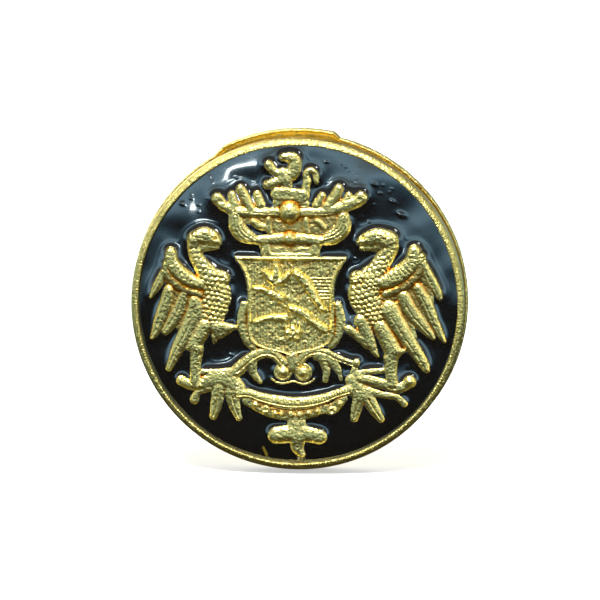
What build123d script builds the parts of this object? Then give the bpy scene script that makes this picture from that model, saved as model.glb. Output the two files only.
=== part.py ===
from build123d import *
import os
from math import acos, atan2, cos, hypot, pi, radians, sin

# Round enamelled cap badge, upright as worn: +Z up, its face towards -Y.
# The origin is on the back seating plane, at the axis of the screw post.
# A level is a distance in front of the seating plane, so a level of 3 is y = -3.

# ---- driving dimensions (mm) ----

# face
rim_od = 30.0               # rim ring over its outside
rim_width = 0.6             # rim ring, radial
rim_height = 1.9            # rim ring, front to back
rim_stand = 1.1             # rim crest in front of the face ground
rim_land = 0.25             # flat of the rim's crest, radial
rim_bevel = 0.35            # fall of the rim's crest towards its outer edge
edge_break = 0.1            # broken edges of turned pieces
shell_depth = 2.6           # front shell, from the back plate to the face ground
shell_wall = 0.5            # sheet of the front shell
enamel_depth = 0.5          # enamel over the face ground

# back plate
lip_overhang = 0.2          # the plate's lip beyond the rim, radial
plate_thickness = 0.5
lip_bead = 0.15             # radius of the bead along the lip
lip_height = 0.85           # bead crest in front of the seating plane
tab_stand = 0.4             # casting tab beyond the lip
tab_low, tab_high = 0.2, 0.6  # levels of the tab's edge
tab_from, tab_to = 76, 121  # ends of the tab, degrees from +X

# fixings
post_d = 3.0                # screw post over its thread
post_length = 9.0           # post behind the seating plane
post_head_step = 1.5        # post's head beyond its shank, radial
post_head_thickness = 0.6
pin_d = 1.0                 # locating pins
pin_gap = 1.0               # pins clear of the nut's edge
pin_length = 3.5            # pins behind the seating plane
pin_root_d = 1.4            # pins' thicker roots, flush with the seating plane
pin_root = 0.5              # roots in front of the back plate, in the solder
tip_chamfer = 0.3           # end of the post
pin_chamfer = 0.15          # ends of the pins
packing_clearance = 0.2     # packing disc to the shell, post head and pins

# nut and washer, shown on a cap wall of cloth_gap
cloth_gap = 2.5
washer_od = 11.0
washer_thickness = 0.4
washer_clearance = 0.2      # washer bore to post, radial
nut_od = 15.0
nut_thickness = 0.8
nut_length = 3.0            # pressed disc and threaded bush together
bush_wall = 1.05            # bush where the disc is pressed on
bush_shoulder = 0.6         # bush behind the disc, radial step
thread_clearance = 0.05     # bush bore to post, radial
face_clearance = 0.05       # nut to washer
grip_notches = 24
notch_r = 0.45

# relief, heights over the face ground
drawing_field_r = 14.4      # the emblem's strokes are drawn for a face of this radius
shield_height = 0.95
charge_height = 0.25        # charges over the shield
mark_height = 0.55          # small flash mark of the casting
smallest_pool = 0.2         # area on the drawing that enamel can't flow into

# ---- sizes that follow ----

field_r = rim_od / 2 - rim_width
ground = plate_thickness + shell_depth
crest = ground + rim_stand
lip_r = rim_od / 2 + lip_overhang
emblem_scale = field_r / drawing_field_r
washer_at = cloth_gap
nut_at = washer_at + washer_thickness + face_clearance
post_head_r = post_d / 2 + post_head_step
bore_r = post_d / 2 + thread_clearance
bush_r = bore_r + bush_wall
pin_x = nut_od / 2 + pin_gap + pin_d / 2


def at(level):
    """The drawing plane at a level in front of the seat; extruding from it goes forward."""
    return Plane.XZ.offset(level)


def tapered(a, b):
    """A stroke between two round ends, each given as (x, z, radius)."""
    (xa, za, ra), (xb, zb, rb) = a, b
    along = atan2(zb - za, xb - xa)
    spread = acos((ra - rb) / hypot(xb - xa, zb - za))

    def on(x, z, r, angle):
        return (x + r * cos(angle), z + r * sin(angle))

    a_low, a_far, a_high = (on(xa, za, ra, along + t) for t in (-spread, pi, spread))
    b_low, b_far, b_high = (on(xb, zb, rb, along + t) for t in (-spread, 0, spread))
    return Face(Wire([
        Edge.make_line(a_low, b_low),
        Edge.make_three_point_arc(b_low, b_far, b_high),
        Edge.make_line(b_high, a_high),
        Edge.make_three_point_arc(a_high, a_far, a_low),
    ]))


def disc(x, z, r):
    return Pos(x, z) * Circle(r)


def footprint(strokes):
    """All the strokes of one relief piece, joined. A stroke of one point is a round boss."""
    faces = []
    for stroke in strokes:
        if len(stroke) == 1:
            faces.append(disc(*stroke[0]))
        faces += [tapered(a, b) for a, b in zip(stroke, stroke[1:])]
    return Sketch() + faces


def raised(sketch, level, height):
    """A flat drawing, scaled to the face and raised from a level."""
    return extrude(at(level) * scale(sketch, by=emblem_scale), amount=height)


def largest(sketch):
    return Sketch() + max(sketch.faces(), key=lambda face: face.area)


def turned(*outline):
    """A piece turned about the badge's axis from (radius, level) corners."""
    points = [(r, -level) for r, level in outline]
    return revolve(make_face(Polyline(*points, close=True)), Axis.Y)


# ---- relief drawing: strokes of (x, z, radius), mm on the drawing's own face ----

left_bird = [
    [(-9.2, 5.8, 0.76), (-8.4, 6.1, 0.85), (-7.6, 5.9, 0.67), (-7.1, 5.6, 0.31)],     # head
    [(-9.2, 5.1, 0.58), (-8.1, 5.2, 0.4), (-7.3, 5.2, 0.27)],                         # jaw
    [(-9.3, 5.3, 0.63), (-9.1, 4.3, 0.63), (-8.5, 3.3, 0.76), (-7.9, 2.3, 1.08)],     # neck
    [(-7.9, 2.3, 1.08), (-7.4, 1.1, 1.44), (-7.5, -0.1, 1.39), (-7.8, -1.3, 1.17)],   # body
    [(-7.5, 2.6, 0.63), (-6.7, 2.3, 0.67)],                                           # crop
    [(-11.4, 4.6, 0.58), (-11.0, 3.6, 0.67), (-10.2, 2.7, 0.67), (-9.4, 2.0, 0.58),
     (-8.7, 1.8, 0.49)],                                                              # wing arm
    [(-11.8, 3.4, 0.31), (-11.3, 2.0, 0.55), (-10.1, 1.1, 0.65), (-9.0, 0.6, 0.5)],   # coverts
    [(-11.8, 3.2, 0.3), (-12.1, 2.6, 0.4), (-12.7, 1.5, 0.36), (-13.2, 0.6, 0.14)],   # small feather
    [(-11.6, 1.2, 0.49), (-11.9, -0.1, 0.58), (-12.4, -1.5, 0.54), (-12.8, -2.6, 0.36),
     (-13.1, -3.1, 0.18)],                                                            # long feather
    [(-10.2, 0.9, 0.45), (-10.6, -0.4, 0.62), (-11.2, -1.5, 0.6), (-11.9, -2.5, 0.36)],
    [(-9.5, 0.4, 0.5), (-9.6, -0.6, 0.8), (-10.1, -2.3, 0.76), (-10.9, -4.1, 0.54),
     (-11.7, -5.9, 0.24)],                                                            # tail
    [(-8.4, -2.0, 0.72), (-9.2, -3.5, 0.72), (-9.1, -4.1, 0.63)],                     # thigh
    [(-9.2, -3.8, 0.54), (-9.9, -4.0, 0.22)],                                         # hock
    [(-9.1, -4.1, 0.58), (-9.2, -5.6, 0.49), (-9.2, -6.9, 0.49)],                     # shank
    [(-7.6, -1.6, 0.6), (-6.0, -2.2, 0.31), (-5.5, -2.2, 0.2)],                       # raised leg
    [(-7.3, -2.4, 0.54), (-7.5, -3.4, 0.22)],
]
right_bird = [
    [(8.2, 5.9, 0.85), (7.1, 6.1, 0.85), (6.1, 5.9, 0.58), (5.5, 5.7, 0.24)],         # head
    [(7.9, 5.2, 0.54), (6.8, 5.3, 0.4), (5.8, 5.2, 0.24)],                            # jaw
    [(8.3, 5.3, 0.76), (7.8, 4.3, 0.81), (7.2, 3.2, 0.94), (6.6, 2.3, 1.26)],         # neck
    [(6.6, 2.3, 1.26), (6.1, 1.2, 1.57), (6.4, 0.2, 1.48), (6.9, -0.9, 1.21)],        # body
    [(6.3, 2.6, 0.63), (5.3, 2.4, 0.67)],                                             # crop
    [(10.5, 4.8, 0.67), (10.1, 3.8, 0.76), (9.2, 2.9, 0.76), (8.4, 2.2, 0.67),
     (7.6, 1.8, 0.45)],                                                               # wing arm
    [(11.2, 4.5, 0.27), (11.1, 3.0, 0.5), (10.2, 2.0, 0.6), (9.0, 1.3, 0.5), (7.9, 1.0, 0.4)],
    [(11.3, 3.8, 0.35), (11.5, 3.3, 0.4), (12.0, 2.2, 0.49), (12.6, 1.2, 0.36),
     (12.8, 0.7, 0.18)],                                                              # small feather
    [(10.8, 1.6, 0.49), (11.5, 0.3, 0.58), (12.2, -1.3, 0.45), (12.8, -2.5, 0.31),
     (13.2, -3.2, 0.14)],                                                             # long feather
    [(9.5, 0.9, 0.6), (10.1, -0.4, 0.68), (11.0, -1.5, 0.6), (11.8, -2.4, 0.4),
     (12.2, -2.9, 0.18)],
    [(8.2, -0.4, 0.95), (9.3, -2.2, 0.76), (10.3, -3.7, 0.63), (11.3, -5.2, 0.45),
     (11.6, -5.8, 0.27)],                                                             # tail
    [(7.5, -2.0, 0.7), (8.1, -3.1, 0.76), (8.6, -4.1, 0.81)],                         # thigh
    [(8.6, -4.1, 0.72), (9.5, -4.1, 0.22)],                                           # hock
    [(8.4, -4.8, 0.67), (8.4, -5.7, 0.54), (8.5, -7.0, 0.54)],                        # shank
    [(5.7, -1.4, 0.63), (6.3, -2.7, 0.58), (6.9, -4.1, 0.31), (7.2, -4.6, 0.14)],     # raised leg
    [(4.6, -2.2, 0.38), (5.6, -2.9, 0.45), (6.3, -3.6, 0.36)],
]
crown = [
    [(-5.6, 7.9, 0.58), (-5.4, 7.0, 0.76), (-4.8, 6.3, 0.76), (-3.7, 5.8, 0.36)],     # left lobe
    [(4.1, 7.9, 0.58), (4.0, 7.0, 0.76), (3.2, 6.2, 0.72), (2.1, 5.8, 0.36)],         # right lobe
    [(-3.4, 5.8, 0.45), (-0.7, 6.0, 0.54), (2.0, 5.8, 0.45)],                         # lower rail
    [(-2.9, 5.4, 0.54), (1.6, 5.4, 0.54)],                                            # neck
    [(-2.8, 4.8, 0.5), (1.5, 4.8, 0.5)],
    [(-5.0, 7.8, 0.5), (-3.2, 7.6, 0.54), (-1.8, 7.3, 0.75), (-1.3, 6.6, 0.75), (-2.0, 6.1, 0.45)],
    [(3.5, 7.7, 0.5), (2.0, 7.4, 0.75), (0.6, 7.1, 1.0), (-0.1, 6.5, 0.8)],           # back
    [(2.9, 6.9, 0.5), (1.6, 6.4, 0.6)],
]
left_antler = [
    [(-7.2, 9.5, 0.54), (-6.5, 8.8, 0.45), (-5.4, 8.4, 0.49), (-3.9, 8.3, 0.45), (-0.8, 8.4, 0.42)],
    [(-5.9, 9.9, 0.27), (-5.7, 9.0, 0.36)],
    [(-5.1, 10.5, 0.36), (-4.7, 9.6, 0.4), (-4.2, 8.7, 0.36)],
    [(-3.6, 10.0, 0.31), (-3.3, 9.0, 0.36)],
]
right_antler = [
    [(-0.5, 8.4, 0.42), (2.0, 8.4, 0.45), (3.4, 8.7, 0.49), (4.7, 9.1, 0.54), (5.7, 9.7, 0.58)],
    [(2.2, 9.9, 0.27), (1.7, 9.0, 0.36)],
    [(3.7, 10.6, 0.36), (3.3, 9.7, 0.45), (2.6, 8.9, 0.36)],
    [(4.6, 9.9, 0.27), (4.2, 9.1, 0.36)],
]
crest_base = [
    [(-1.8, 10.0, 0.58), (0.4, 9.8, 0.63)],
    [(-1.8, 9.2, 0.4), (-0.7, 9.7, 0.6), (0.6, 9.1, 0.45)],
]
crest_serpent = [
    [(-1.3, 13.3, 0.36), (-0.4, 13.2, 0.54), (-0.2, 12.6, 0.54), (-0.6, 11.8, 0.63),
     (-1.6, 11.2, 0.49), (-2.7, 10.8, 0.4)],                                          # head
    [(-2.6, 12.6, 0.4), (-1.9, 11.9, 0.36), (-1.3, 11.9, 0.45)],                      # tongue
    [(-1.0, 11.3, 0.54), (-1.1, 10.3, 0.63)],                                         # neck
]
crest_hook = [
    [(0.9, 11.1, 0.31), (0.8, 11.8, 0.31), (1.2, 12.1, 0.31), (1.6, 11.8, 0.27), (1.7, 11.1, 0.18)],
    [(0.8, 11.1, 0.31), (0.7, 10.0, 0.36)],
]
mantle = [
    [(-4.8, -0.1, 0.4), (-5.0, -1.6, 0.49), (-4.6, -3.1, 0.45), (-4.0, -3.9, 0.36)],
    [(3.6, -0.1, 0.4), (3.85, -1.6, 0.49), (3.5, -3.0, 0.45), (3.0, -3.7, 0.36)],
]
scroll = [
    [(-5.4, -6.0, 0.6), (-4.3, -5.0, 0.54), (-3.2, -4.4, 0.49), (-2.1, -4.5, 0.49),
     (-1.3, -5.3, 0.49)],                                                             # left stem
    [(0.1, -5.2, 0.49), (0.9, -4.4, 0.45), (2.2, -4.2, 0.4), (3.6, -4.8, 0.31), (5.3, -5.4, 0.27)],
    [(5.3, -5.2, 0.34)],                                                              # ball
    [(-1.3, -6.1, 0.85)],                                                             # volutes
    [(0.5, -6.1, 0.85)],
    [(-0.5, -4.6, 0.6), (-0.4, -5.6, 0.6)],
    [(-4.1, -5.3, 0.45), (-4.0, -6.2, 0.36), (-3.4, -7.0, 0.22)],                     # left leaf
    [(1.8, -4.6, 0.49), (2.9, -5.0, 0.54), (3.6, -5.8, 0.4), (3.9, -6.7, 0.22)],      # right leaf
    [(2.2, -5.0, 0.36), (2.6, -5.9, 0.4), (2.5, -6.8, 0.27)],
]
left_branch = [
    [(-10.5, -7.0, 0.43), (-9.6, -7.4, 0.43), (-8.8, -7.3, 0.54)],                    # bud
    [(-8.8, -7.3, 0.54), (-7.6, -6.9, 0.72), (-6.3, -6.9, 0.9), (-5.4, -7.6, 0.72)],
    [(-8.6, -6.2, 0.27), (-7.1, -6.3, 0.4), (-5.6, -6.2, 0.5)],
    [(-7.5, -7.6, 0.3), (-8.9, -8.0, 0.27), (-9.3, -8.7, 0.4)],                       # twig
    [(-7.1, -7.6, 0.65), (-7.3, -9.1, 0.54), (-7.6, -10.2, 0.31)],                    # leaves
    [(-6.0, -7.9, 0.67), (-5.7, -9.2, 0.54), (-5.3, -10.3, 0.29)],
]
right_branch = [
    [(5.2, -5.6, 0.3), (4.9, -6.7, 0.45)],                                            # stem
    [(4.8, -6.8, 0.54), (5.4, -7.6, 0.85), (5.8, -8.2, 0.81)],
    [(5.3, -6.2, 0.3), (6.6, -6.0, 0.25), (7.9, -5.9, 0.27)],
    [(5.6, -6.6, 0.45), (7.7, -7.1, 0.49), (9.0, -7.5, 0.45), (9.9, -7.1, 0.45)],
    [(10.1, -6.9, 0.54)],                                                             # ball
    [(6.0, -7.7, 0.5), (7.7, -8.1, 0.31), (8.9, -8.3, 0.36), (9.6, -8.9, 0.29)],
    [(5.6, -8.3, 0.6), (5.3, -9.4, 0.49), (5.1, -10.3, 0.31)],                        # leaves
    [(6.2, -8.2, 0.7), (6.9, -9.4, 0.54), (7.5, -10.3, 0.31)],
]
ribbon = [
    [(-5.3, -8.1, 0.5), (-4.3, -8.1, 0.36), (-3.2, -8.5, 0.45), (-2.0, -8.8, 0.56), (-0.5, -9.0, 0.58),
     (0.9, -8.9, 0.56), (2.2, -8.6, 0.49), (3.4, -8.1, 0.36), (4.6, -7.7, 0.5)],
]
bead_row = [
    [(-4.5, -8.7, 0.5), (-3.6, -9.2, 0.5), (-2.5, -9.7, 0.52), (-1.2, -9.9, 0.56), (0.2, -9.9, 0.56),
     (1.3, -9.7, 0.5), (2.4, -9.4, 0.4), (3.1, -9.4, 0.49), (4.1, -8.5, 0.4)],
]
cross_pendant = [
    [(-1.9, -11.9, 0.76), (-0.5, -11.7, 0.81)],
    [(2.0, -12.0, 0.63), (0.5, -11.7, 0.72)],
    [(-0.1, -10.6, 0.85), (-0.1, -11.9, 0.9)],
    [(0.0, -12.2, 0.72), (0.0, -13.0, 0.54), (0.4, -13.6, 0.27)],
]
casting_mark = [[(-3.1, -13.05, 0.1), (-2.8, -13.7, 0.12)]]

# charges on the shield: plain bars, a sprig of three leaves and a five-petal flower
shield_bars = {
    "shield_upper_bend": [(0.2, 2.6, 0.34), (2.2, -0.4, 0.3)],
    "shield_lower_bend": [(-0.1, -0.6, 0.3), (2.3, -2.1, 0.34)],
    "shield_upper_bar": [(-3.9, 1.6, 0.25), (-1.7, 0.7, 0.3)],
    "shield_lower_bar": [(-3.9, -1.6, 0.25), (-1.3, -1.1, 0.28)],
}
sprig = [
    [(-2.0, 1.9, 0.2), (-2.0, 2.8, 0.28), (-2.0, 3.6, 0.16)],
    [(-2.0, 1.9, 0.2), (-2.9, 2.6, 0.3), (-3.3, 3.2, 0.14)],
    [(-2.0, 1.9, 0.2), (-1.1, 2.6, 0.3), (-0.7, 3.2, 0.14)],
]
flower_x, flower_z = -0.4, -2.6
petals, petal_r, petal_at = 5, 0.32, 0.46

shield_axis = -0.6          # the shield is symmetric about this x
shield_top, shield_half = 4.4, 5.1
shield_waist_half, shield_foot = 3.95, -4.8


def shield_outline():
    """A notched top edge, hollow sides and a foot with a small point."""
    corner = (shield_axis + shield_half, shield_top)
    ear = (shield_axis + shield_half - 0.1, shield_top - 0.4)
    waist = (shield_axis + shield_waist_half, -1.0)
    hip = (shield_axis + shield_half - 1.6, -3.5)
    foot = (shield_axis, shield_foot)
    half = make_face([
        Line((shield_axis, shield_top), corner),
        Line(corner, ear),
        Spline(ear, (shield_axis + 4.2, 2.6), waist, tangents=[(-1, -1), (0, -1)]),
        Spline(waist, hip, tangents=[(0, -1), (-1, -0.7)]),
        Spline(hip, (shield_axis + 1.6, -4.15), foot, tangents=[(-1, -0.7), (-1, -1)]),
        Line(foot, (shield_axis, shield_top)),
    ])
    other = mirror(half, about=Plane((shield_axis, 0, 0), x_dir=(0, 1, 0), z_dir=(1, 0, 0)))
    return Sketch() + [half, other]


# Each piece keeps clear of the ones above it, so their walls meet and nothing overlaps.
relief = {
    "crown_orb": ([[(-0.7, 8.4, 0.95)]], 1.5),
    "crown_boss": ([[(-0.7, 6.0, 0.6)]], 1.3),
    "shield_plate": (None, shield_height),
    "ribbon": (ribbon, 1.1),
    "left_bird": (left_bird, 1.25),
    "right_bird": (right_bird, 1.25),
    "crown": (crown, 1.0),
    "left_antler": (left_antler, 1.0),
    "right_antler": (right_antler, 1.0),
    "crest_base": (crest_base, 0.9),
    "crest_serpent": (crest_serpent, 1.0),
    "crest_hook": (crest_hook, 0.8),
    "shield_mantle_left": (mantle[:1], 0.75),
    "shield_mantle_right": (mantle[1:], 0.75),
    "scroll": (scroll, 0.85),
    "left_branch": (left_branch, 0.9),
    "right_branch": (right_branch, 0.9),
    "bead_row": (bead_row, 0.85),
    "cross_pendant": (cross_pendant, 0.95),
}

parts = {}
prints = {}
for name, (strokes, height) in relief.items():
    drawn = footprint(strokes) if strokes else shield_outline()
    for earlier in prints.values():
        drawn = drawn - earlier
    prints[name] = largest(drawn)
    parts[name] = raised(prints[name], ground, height)

# ---- charges, soldered to the shield ----

charge_level = ground + shield_height
for name, stroke in shield_bars.items():
    parts[name] = raised(footprint([stroke]), charge_level, charge_height)
parts["shield_sprig"] = raised(footprint(sprig), charge_level, charge_height)
flower = [[(flower_x, flower_z, petal_r)]]
for i in range(petals):
    turn = radians(90 + i * 360 / petals)
    flower.append([(flower_x + petal_at * cos(turn), flower_z + petal_at * sin(turn), petal_r)])
parts["shield_flower"] = raised(footprint(flower), charge_level, charge_height)

# ---- enamel, in every pool that the relief leaves open ----

mark = footprint(casting_mark)
open_ground = Circle(drawing_field_r) - mark
for drawn in prints.values():
    open_ground = open_ground - drawn
pools = [face for face in open_ground.faces() if face.area > smallest_pool]
pools.sort(key=lambda face: -face.area)
pool_names = ["field", "under_scroll", "left_pocket", "crown_pocket", "feather_gap",
              "right_perch_gap", "right_stem_gap"]
for name, pool in zip(pool_names, pools, strict=True):
    parts[f"enamel_{name}"] = raised(Sketch() + pool, ground, enamel_depth)

# ---- shell, rim and back plate ----

shell = turned((0, ground - shell_wall), (field_r - shell_wall, ground - shell_wall),
               (field_r - shell_wall, plate_thickness), (field_r, plate_thickness),
               (field_r, ground), (0, ground))
parts["front_shell"] = shell + raised(mark, ground, mark_height)

rim_r, rim_back = rim_od / 2, crest - rim_height
parts["rim_ring"] = turned((field_r, rim_back), (rim_r - edge_break, rim_back),
                           (rim_r, rim_back + edge_break), (rim_r, crest - rim_bevel),
                           (field_r + rim_land, crest), (field_r + edge_break, crest),
                           (field_r, crest - edge_break))

bead_level = lip_height - lip_bead
bead_inner = lip_r - 2 * lip_bead
plate = revolve(make_face([
    Polyline((0, -plate_thickness), (0, 0), (lip_r - edge_break, 0), (lip_r, -edge_break),
             (lip_r, -bead_level)),
    ThreePointArc((lip_r, -bead_level), (lip_r - lip_bead, -lip_height), (bead_inner, -bead_level)),
    Polyline((bead_inner, -bead_level), (bead_inner, -plate_thickness), (0, -plate_thickness)),
]), Axis.Y)
tab = turned((bead_inner, edge_break), (lip_r + tab_stand, tab_low), (lip_r + tab_stand, tab_high),
             (lip_r, bead_level), (bead_inner, bead_level))
reach = 2 * lip_r
rays = [radians(tab_from + (tab_to - tab_from) * share) for share in (0, 0.5, 1)]
corners = [(0, 0)] + [(reach * cos(ray), reach * sin(ray)) for ray in rays]
sector = extrude(at(0) * make_face(Polyline(*corners, close=True)), amount=lip_height)
pin_places = [(-pin_x, 0), (pin_x, 0)]
roots = Sketch() + [disc(x, z, pin_root_d / 2) for x, z in pin_places]
holes = Circle(post_d / 2) + roots
drilled = extrude(at(0) * holes, amount=plate_thickness)
parts["back_plate"] = plate + (tab & sector) - drilled

# ---- screw post, locating pins and packing ----

head = extrude(at(plate_thickness) * Circle(post_head_r), amount=post_head_thickness)
shank = extrude(at(-post_length) * Circle(post_d / 2), amount=post_length + plate_thickness)
tip_edge = shank.edges().filter_by(GeomType.CIRCLE).sort_by(Axis.Y)[-1]
parts["screw_post"] = head + chamfer(tip_edge, tip_chamfer)

pins = Sketch() + [disc(x, z, pin_d / 2) for x, z in pin_places]
pins = extrude(at(-pin_length) * pins, amount=pin_length)
pin_tips = pins.edges().filter_by(GeomType.CIRCLE).group_by(Axis.Y)[-1]
pins = chamfer(pin_tips, pin_chamfer) + extrude(at(0) * roots, amount=plate_thickness + pin_root)
parts["locating_pins"] = pins

packing = Circle(field_r - shell_wall - packing_clearance)
packing -= Circle(post_head_r + packing_clearance)
packing -= [disc(x, z, pin_root_d / 2 + packing_clearance) for x, z in pin_places]
parts["packing_disc"] = extrude(at(plate_thickness) * packing, amount=shell_depth - shell_wall)

# ---- washer and nut, behind the cap wall ----

washer = Circle(washer_od / 2) - Circle(post_d / 2 + washer_clearance)
parts["washer"] = extrude(at(-washer_at - washer_thickness) * washer, amount=washer_thickness)

notches = [Circle(notch_r).locate(Location((nut_od / 2 * cos(t), nut_od / 2 * sin(t))))
           for t in (2 * pi * i / grip_notches for i in range(grip_notches))]
nut_plate = Circle(nut_od / 2) - Circle(bush_r) - notches
parts["nut_disc"] = extrude(at(-nut_at - nut_thickness) * nut_plate, amount=nut_thickness)

shoulder_at, nut_end = nut_at + nut_thickness, nut_at + nut_length
parts["nut_bush"] = turned((bore_r, -nut_at), (bush_r, -nut_at), (bush_r, -shoulder_at),
                           (bush_r + bush_shoulder, -shoulder_at), (bush_r + bush_shoulder, -nut_end),
                           (bore_r, -nut_end))

# ---- one STEP file for each sub-part ----

os.makedirs("parts", exist_ok=True)
for name, part in parts.items():
    export_step(part, f"parts/{name}.step")
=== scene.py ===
import math

import bmesh
import bpy
import numpy as np
from mathutils import Matrix, Vector


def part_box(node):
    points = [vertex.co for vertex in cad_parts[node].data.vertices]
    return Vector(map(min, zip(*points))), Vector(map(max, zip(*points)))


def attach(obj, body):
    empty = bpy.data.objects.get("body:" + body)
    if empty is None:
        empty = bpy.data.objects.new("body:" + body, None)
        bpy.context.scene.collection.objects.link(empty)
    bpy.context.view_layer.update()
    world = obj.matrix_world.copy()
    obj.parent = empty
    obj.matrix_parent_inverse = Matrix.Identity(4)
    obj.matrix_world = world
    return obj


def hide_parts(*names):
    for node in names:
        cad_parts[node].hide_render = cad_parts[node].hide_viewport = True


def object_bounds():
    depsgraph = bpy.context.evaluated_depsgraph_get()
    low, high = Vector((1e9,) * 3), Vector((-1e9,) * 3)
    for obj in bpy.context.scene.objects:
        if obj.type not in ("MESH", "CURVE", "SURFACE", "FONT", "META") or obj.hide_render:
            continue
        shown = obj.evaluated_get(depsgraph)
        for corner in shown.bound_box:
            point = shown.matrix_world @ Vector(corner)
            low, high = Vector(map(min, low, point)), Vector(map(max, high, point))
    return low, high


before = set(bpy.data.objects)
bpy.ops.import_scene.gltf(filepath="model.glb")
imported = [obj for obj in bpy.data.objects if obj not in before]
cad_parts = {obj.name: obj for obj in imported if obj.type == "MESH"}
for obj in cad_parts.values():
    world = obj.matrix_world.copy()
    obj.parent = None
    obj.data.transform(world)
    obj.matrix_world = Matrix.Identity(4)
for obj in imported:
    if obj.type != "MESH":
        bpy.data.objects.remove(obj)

cad_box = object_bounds()
MM = 0.001

# Drawing units are mm. A level is a distance in front of the seating plane, so level 3 is y = -3 mm,
# and a height is a distance in front of the face ground.


def front(node):
    return -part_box(node)[0].y / MM


def back(node):
    return -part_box(node)[1].y / MM


ground = back("crown_boss")
field_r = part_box("front_shell")[1].x / MM
enamel_h = front("enamel_field") - ground
rim_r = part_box("rim_ring")[1].x / MM
rim_front, rim_back = front("rim_ring"), back("rim_ring")
shield_h = front("shield_plate") - ground
top_h = {n: front(n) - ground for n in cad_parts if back(n) < ground + 0.01 < front(n)}

# ---- strokes of the relief: (rise at start, rise at end, style, [(x, z, radius), ...]) ----

left_bird = [
    (1.12, 1.05, "head", [(-9.2, 5.8, 0.76), (-8.4, 6.1, 0.85), (-7.6, 5.9, 0.67), (-7.1, 5.6, 0.31)]),
    (0.86, 0.80, "plain", [(-9.2, 5.1, 0.58), (-8.1, 5.2, 0.4), (-7.3, 5.2, 0.27)]),
    (1.0, 1.15, "neck", [(-9.3, 5.3, 0.63), (-9.1, 4.3, 0.63), (-8.5, 3.3, 0.76), (-7.9, 2.3, 1.08)]),
    (1.15, 0.95, "scale", [(-7.9, 2.3, 1.08), (-7.4, 1.1, 1.44), (-7.5, -0.1, 1.39), (-7.8, -1.3, 1.17)]),
    (1.12, 1.12, "scale", [(-7.5, 2.6, 0.63), (-6.7, 2.3, 0.67)]),
    (1.1, 1.2, "arm", [(-11.4, 4.6, 0.52), (-11.3, 3.7, 0.64), (-10.6, 2.8, 0.7), (-9.6, 2.1, 0.66),
                       (-8.8, 1.8, 0.5)]),
    (0.66, 0.7, "flat", [(-11.8, 3.0, 0.31), (-11.3, 1.6, 0.5), (-10.1, 0.8, 0.6), (-9.0, 0.3, 0.5)]),
    (0.92, 0.95, "covert", [(-11.9, 3.6, 0.25), (-11.6, 2.6, 0.5), (-10.7, 1.7, 0.58), (-9.7, 1.2, 0.52),
                            (-8.8, 0.9, 0.4)]),
    (0.64, 0.6, "flat", [(-11.0, 0.9, 0.5), (-11.4, -1.0, 0.35), (-11.7, -1.9, 0.1)]),
    (0.64, 0.6, "flat", [(-10.0, 0.5, 0.4), (-10.4, -1.2, 0.35), (-10.8, -2.2, 0.1)]),
    (0.85, 0.66, "feather", [(-11.8, 3.2, 0.3), (-12.1, 2.6, 0.4), (-12.7, 1.5, 0.36), (-13.2, 0.6, 0.14)]),
    (0.95, 0.7, "feather", [(-11.6, 1.2, 0.49), (-11.9, -0.1, 0.58), (-12.4, -1.5, 0.54),
                            (-12.8, -2.6, 0.36), (-13.1, -3.1, 0.18)]),
    (0.92, 0.72, "feather", [(-10.2, 0.9, 0.45), (-10.6, -0.4, 0.62), (-11.2, -1.5, 0.6), (-11.9, -2.5, 0.36)]),
    (1.0, 0.7, "feather", [(-9.2, 0.3, 0.6), (-9.2, -0.8, 0.95), (-9.8, -2.3, 0.82), (-10.8, -4.1, 0.56),
                           (-11.6, -5.9, 0.26)]),
    (1.0, 1.0, "plain", [(-8.4, -2.0, 0.72), (-9.2, -3.5, 0.72), (-9.1, -4.1, 0.63)]),
    (0.85, 0.75, "plain", [(-9.2, -3.8, 0.54), (-9.9, -4.0, 0.22)]),
    (0.95, 0.85, "plain", [(-9.1, -4.1, 0.58), (-9.2, -5.6, 0.49), (-9.2, -6.9, 0.49)]),
    (0.95, 0.8, "plain", [(-7.4, -2.0, 0.6), (-6.4, -2.15, 0.42), (-5.6, -2.1, 0.2)]),
    (0.9, 0.75, "plain", [(-7.3, -2.3, 0.6), (-6.7, -2.6, 0.36)]),
    (0.9, 0.7, "plain", [(-7.3, -2.4, 0.5), (-7.5, -3.4, 0.18)]),
    (0.8, 0.75, "plain", [(-7.5, -2.9, 0.3), (-6.9, -2.8, 0.3), (-6.2, -2.4, 0.25)]),
]
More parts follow.
